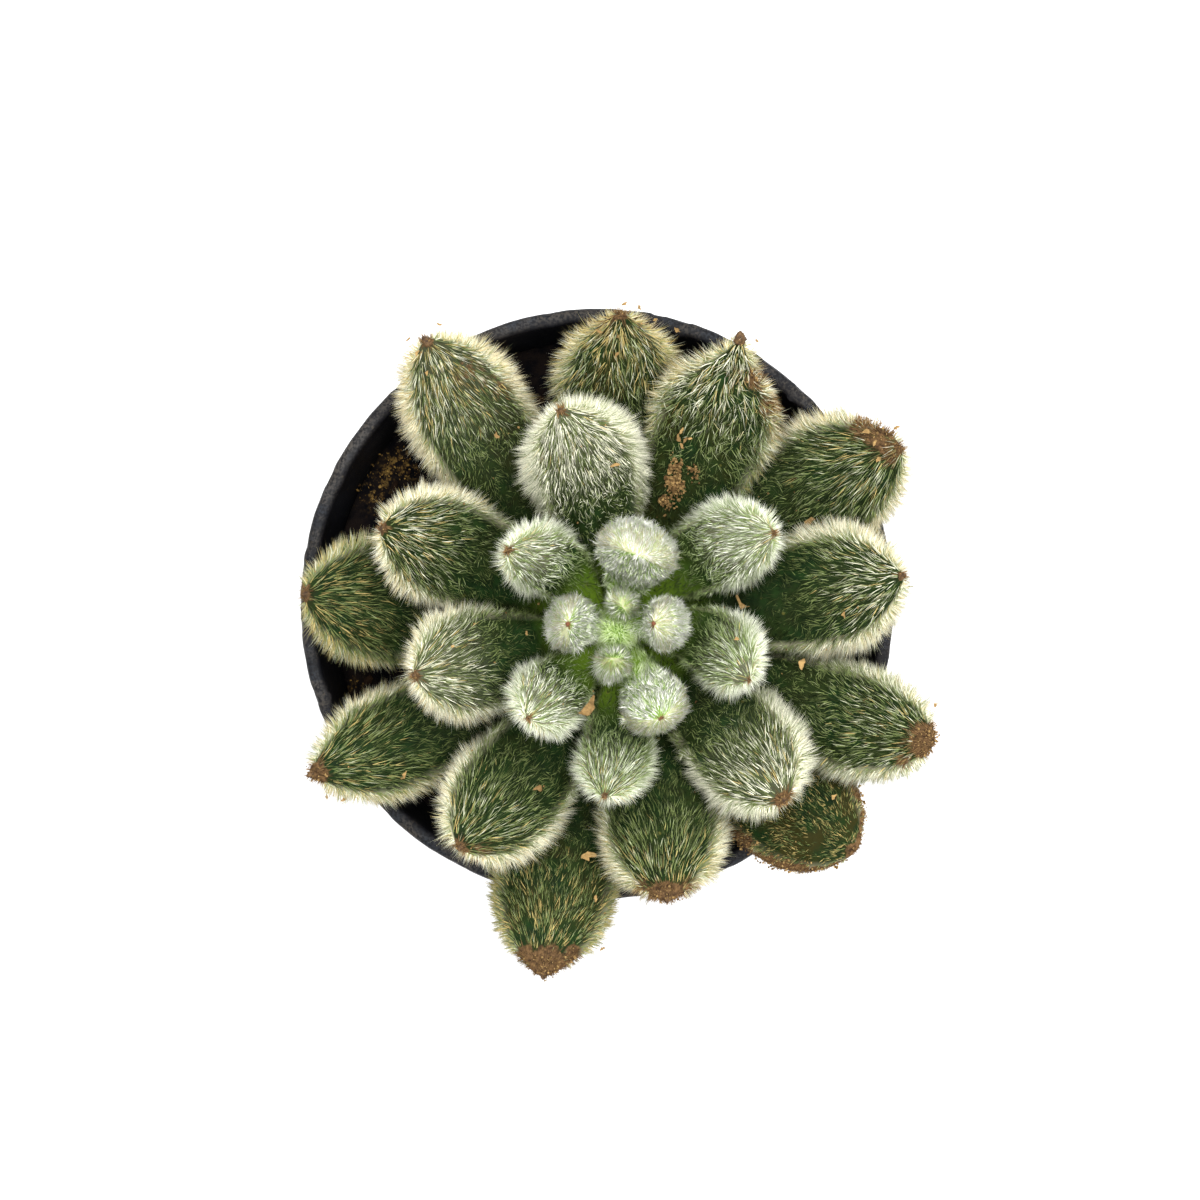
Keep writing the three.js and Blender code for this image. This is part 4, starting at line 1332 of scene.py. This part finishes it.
def cut_slots(piece):
    """Cuts the drainage slots through the foot of the wall. Each is a block, rounded at its inner end."""
    length, width, height = 13 * MM, 4 * MM, 7.2 * MM
    middle, inner = 21.5 * MM, 15 * MM
    bm = bmesh.new()
    for i in range(SLOTS):
        made = bmesh.ops.create_cube(bm, size=1.0)["verts"]
        bmesh.ops.scale(bm, verts=made, vec=(length, width, height))
        bmesh.ops.translate(bm, verts=made, vec=(middle, 0, 0))
        end = bmesh.ops.create_cone(bm, cap_ends=True, segments=24, radius1=width / 2, radius2=width / 2,
                                    depth=height)["verts"]
        bmesh.ops.translate(bm, verts=end, vec=(inner, 0, 0))
        turn = Matrix.Rotation(2 * math.pi / SLOTS * i, 3, "Z")
        bmesh.ops.rotate(bm, verts=made + end, cent=(0, 0, 0), matrix=turn)
    mesh = bpy.data.meshes.new("slot_cutters")
    bm.to_mesh(mesh)
    bm.free()
    cutter = bpy.data.objects.new("slot_cutters", mesh)
    bpy.context.scene.collection.objects.link(cutter)
    cut = piece.modifiers.new("slots", "BOOLEAN")
    cut.operation, cut.solver = "DIFFERENCE", "EXACT"
    cut.object, cut.use_self = cutter, True
    bpy.context.view_layer.update()
    made = bpy.data.meshes.new_from_object(piece.evaluated_get(bpy.context.evaluated_depsgraph_get()))
    piece.modifiers.clear()
    piece.data = made
    bpy.data.objects.remove(cutter)
    bpy.data.meshes.remove(mesh)


def soil_height(x, y):
    """How far the lumps and grit stand out of the soil's mounds"""
    soil = bpy.context.scene.echeveria_soil
    place = Vector((x, y, 0))
    lumps = noise.noise(place * 260.0) + 0.7 * noise.noise(place * 620.0)
    grit = 0.45 * noise.noise(place * 1500.0)
    return soil.relief * (lumps + grit)


def soil_piece():
    """The soil as one filled column with a lumpy top"""
    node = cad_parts["soil"].data
    tree = BVHTree.FromPolygons([v.co.copy() for v in node.vertices],
                                [list(face.vertices) for face in node.polygons])
    low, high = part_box("soil")
    top_radius, foot_radius = high.x, 22.7 * MM
    sides, rings, inside = 170, 52, 0.995
    turn = turns_round(sides)
    rows = []
    for ring in range(rings, 0, -1):
        radius = top_radius * ring / rings
        row = []
        for angle in turn:
            x, y = radius * math.cos(angle), radius * math.sin(angle)
            hit = tree.ray_cast(Vector((x * inside, y * inside, OVERHEAD)), DOWN)[0]
            ground = hit.z if hit and hit.z > SOIL_LEVEL - 2 * MM else SOIL_LEVEL
            row.append([x, y, ground + soil_height(x, y)])
        rows.append(row)
    wall = []
    for share in (0.0, 0.34, 0.67):
        radius = foot_radius + (top_radius - foot_radius) * share
        height = low.z + (SOIL_LEVEL - low.z) * share
        wall.append([[radius * math.cos(angle), radius * math.sin(angle), height] for angle in turn])
    rows = np.array(wall + rows)
    points = np.concatenate([rows.reshape(-1, 3), [[0, 0, low.z]], [[0, 0, SOIL_LEVEL + soil_height(0, 0)]]])
    faces = closed_faces(len(rows), sides)
    piece = mesh_piece("potting_soil", points, faces, soil_material())
    golden = np.zeros(len(points))
    for x, y, spread, strength in SOIL_BITS:
        middle = np.array(photo_point(x, y, SOIL_LEVEL))
        away = np.linalg.norm((points - middle)[:, :2], axis=1) / (spread * PIXEL)
        thick = strength * (1 - eased(away, 0.5, 1.8))
        golden = np.maximum(golden, thick * (points[:, 2] > SOIL_LEVEL - 2 * MM))
    set_mask(piece, "golden", golden)
    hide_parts("soil")
    return piece


def soil_crumbs():
    """Loose crumbs of soil and bark, and the golden bits that the photograph shows"""
    soil = bpy.context.scene.echeveria_soil
    rng = np.random.default_rng(SOIL_SEED)
    tree = tree_of(["potting_soil"])
    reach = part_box("soil")[1].x - 1.0 * MM
    parts = []
    for _ in range(soil.crumbs):
        radius, turn = reach * math.sqrt(rng.random()), rng.random() * 2 * math.pi
        x, y = radius * math.cos(turn), radius * math.sin(turn)
        hit = tree.ray_cast(Vector((x, y, OVERHEAD)), DOWN)[0]
        size = (0.22 + 0.75 * rng.random() ** 3) * MM
        points, faces = crumb(rng, np.array(hit), size, 0.45 + 0.5 * rng.random())
        parts.append((points + [0, 0, size * 0.3], faces, rng.random() ** 2.2))
    piece_of_parts("soil_crumbs", parts, crumb_material("bark_crumbs", soil.dark, soil.bark))
    parts = []
    for x, y, spread, strength in SOIL_BITS:
        for _ in range(int(BITS_IN_PATCH * strength)):
            spot = np.array([x, y]) + rng.normal(size=2) * spread
            place, _ = lying_at(tree, *spot, 0.1 * MM)
            points, faces = crumb(rng, place, (0.06 + 0.16 * rng.random() ** 2) * MM, 0.5)
            parts.append((points, faces, rng.random()))
    piece_of_parts("golden_soil_bits", parts, crumb_material("golden_bits", soil.gold, soil.bark))


def stem_piece():
    """The short stem, smoothed from its CAD solid and made slightly uneven"""
    bm = welded("stem")
    bmesh.ops.subdivide_edges(bm, edges=bm.edges, cuts=2, use_grid_fill=True, smooth=0.4)
    low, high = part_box("stem")
    for v in bm.verts:
        out = Vector((v.co.x - STEM_AXIS.x, v.co.y - STEM_AXIS.y, 0))
        if out.length > 0.3 * MM:
            v.co += out.normalized() * 0.12 * MM * noise.noise(v.co * 500.0)
    bmesh.ops.triangulate(bm, faces=bm.faces)
    points, faces = points_and_faces(bm)
    piece = mesh_piece("fleshy_stem", points, [faces], stem_material())
    set_mask(piece, "up", (points[:, 2] - low.z) / (high.z - low.z))
    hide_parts("stem")
    return piece


# Operators

class ECHEVERIA_OT_pot(bpy.types.Operator):
    """Builds the nursery pot with its drainage slots and worn rim"""
    bl_idname = "echeveria.pot"
    bl_label = "Nursery Pot"

    def execute(self, context):
        pot_piece()
        return {"FINISHED"}


class ECHEVERIA_OT_soil(bpy.types.Operator):
    """Builds the potting soil and the crumbs that lie on it"""
    bl_idname = "echeveria.soil"
    bl_label = "Potting Soil"

    def execute(self, context):
        soil_piece()
        soil_crumbs()
        return {"FINISHED"}


class ECHEVERIA_OT_stem(bpy.types.Operator):
    """Builds the short fleshy stem"""
    bl_idname = "echeveria.stem"
    bl_label = "Stem"

    def execute(self, context):
        stem_piece()
        return {"FINISHED"}


class ECHEVERIA_OT_leaves(bpy.types.Operator):
    """Builds the skin of all 27 leaves"""
    bl_idname = "echeveria.leaves"
    bl_label = "Leaves"

    def execute(self, context):
        leaf = context.scene.echeveria_leaf
        skins = {
            "old": skin_material("old_leaf_skin", leaf.deep, leaf.light, leaf.light, 0.30),
            "grown": skin_material("grown_leaf_skin", leaf.deep, leaf.light, leaf.lime, 0.34),
            "young": skin_material("young_leaf_skin", leaf.deep, leaf.light, leaf.lime, 0.56),
            "bud": skin_material("bud_skin", leaf.pale, leaf.pale, leaf.lime, 0.45),
        }
        for form in leaf_forms():
            leaf_piece(form, skins[coat_of(form.number)])
        return {"FINISHED"}


class ECHEVERIA_OT_fur(bpy.types.Operator):
    """Grows the hairs on all leaves and on the growing point"""
    bl_idname = "echeveria.fur"
    bl_label = "Fur"

    def execute(self, context):
        fur = context.scene.echeveria_fur
        coats = {age: fur_material(f"{age}_leaf_fur", fur.shade, fur.middle, fur.cream)
                 for age in ("old", "grown")}
        coats["young"] = fur_material("young_leaf_fur", fur.shade, fur.frosted, fur.hoar)
        coats["bud"] = fur_material("bud_fur", fur.fresh, fur.soft, fur.white)
        for form in leaf_forms():
            fur_piece(form, coats[coat_of(form.number)])
        stem_fuzz()
        return {"FINISHED"}


class ECHEVERIA_OT_debris(bpy.types.Operator):
    """Adds the dried leaf tips and the crumbs caught in the fur"""
    bl_idname = "echeveria.debris"
    bl_label = "Dried Tips and Debris"

    def execute(self, context):
        debris = context.scene.echeveria_debris
        rng = np.random.default_rng(DEBRIS_SEED)
        parts = [dried_tip(form, rng) for form in leaf_forms() if form.look["tip"] > 0]
        piece_of_parts("dried_tips", parts, dry_tip_material(), mask="ruddy", smooth=True)
        tree = tree_of([f"blade_{n:02d}" for n in range(1, LEAF_COUNT + 1)] + ["nursery_pot"])
        parts = flake_parts(tree, rng) + clump_parts(tree, rng) + grain_parts(debris.grains, rng)
        piece_of_parts("caught_debris", parts, crumb_material("dry_flakes", debris.tan, debris.rust))
        return {"FINISHED"}


class ECHEVERIA_OT_stage(bpy.types.Operator):
    """Sets the floor, the soft light from all round, the large light overhead and the camera"""
    bl_idname = "echeveria.stage"
    bl_label = "Stage"

    def execute(self, context):
        scene, stage = context.scene, context.scene.echeveria_stage
        mesh = bpy.data.meshes.new("floor")
        reach = 3.0
        corners = [(-reach, -reach, 0), (reach, -reach, 0), (reach, reach, 0), (-reach, reach, 0)]
        mesh.from_pydata(corners, [], [(0, 1, 2, 3)])
        floor = bpy.data.objects.new("floor", mesh)
        scene.collection.objects.link(floor)
        mesh.materials.append(floor_material())
        floor.location.z = -0.02 * MM
        world = bpy.data.worlds.new("soft_sky")
        world.use_nodes = True
        world.node_tree.nodes["Background"].inputs[0].default_value = (1, 1, 1, 1)
        world.node_tree.nodes["Background"].inputs[1].default_value = stage.sky
        scene.world = world
        light = bpy.data.lights.new("key", "AREA")
        light.shape, light.size, light.energy = "DISK", 1.5, stage.key
        lamp = bpy.data.objects.new("key", light)
        lamp.location = (0.12, 0.16, 1.2)
        lamp.rotation_euler = (Vector((0, 0, 0.06)) - lamp.location).to_track_quat("-Z", "Y").to_euler()
        scene.collection.objects.link(lamp)
        view = bpy.data.cameras.new("overhead")
        view.lens, view.sensor_width, view.clip_start = CAMERA_LENS, SENSOR, 0.01
        camera = bpy.data.objects.new("overhead", view)
        camera.location = CAMERA_PLACE
        scene.collection.objects.link(camera)
        scene.camera = camera
        scene.view_settings.view_transform = "Standard"
        return {"FINISHED"}


STEPS = (ECHEVERIA_OT_pot, ECHEVERIA_OT_soil, ECHEVERIA_OT_stem, ECHEVERIA_OT_leaves, ECHEVERIA_OT_fur,
         ECHEVERIA_OT_debris, ECHEVERIA_OT_stage)
SETTINGS = {"echeveria_pot": PotSettings, "echeveria_soil": SoilSettings, "echeveria_leaf": LeafSettings,
            "echeveria_fur": FurSettings, "echeveria_debris": DebrisSettings,
            "echeveria_stage": StageSettings}


class ECHEVERIA_PT_panel(bpy.types.Panel):
    """Lists the settings and steps of the echeveria"""
    bl_label = "Echeveria"
    bl_idname = "ECHEVERIA_PT_panel"
    bl_space_type = "VIEW_3D"
    bl_region_type = "UI"
    bl_category = "Echeveria"

    def draw(self, context):
        for name in SETTINGS:
            box = self.layout.box()
            settings = getattr(context.scene, name)
            box.label(text=name.split("_")[1].title())
            for key in settings.bl_rna.properties.keys():
                if key not in ("rna_type", "name"):
                    box.prop(settings, key)
        for step in STEPS:
            self.layout.operator(step.bl_idname)


def register():
    for kind in (*SETTINGS.values(), *STEPS, ECHEVERIA_PT_panel):
        bpy.utils.register_class(kind)
    for name, kind in SETTINGS.items():
        setattr(bpy.types.Scene, name, PointerProperty(type=kind))


def unregister():
    for name in SETTINGS:
        delattr(bpy.types.Scene, name)
    for kind in reversed((*SETTINGS.values(), *STEPS, ECHEVERIA_PT_panel)):
        bpy.utils.unregister_class(kind)


def main():
    register()
    for step in STEPS:
        group, name = step.bl_idname.split(".")
        getattr(getattr(bpy.ops, group), name)()


if __name__ == "__main__":
    main()
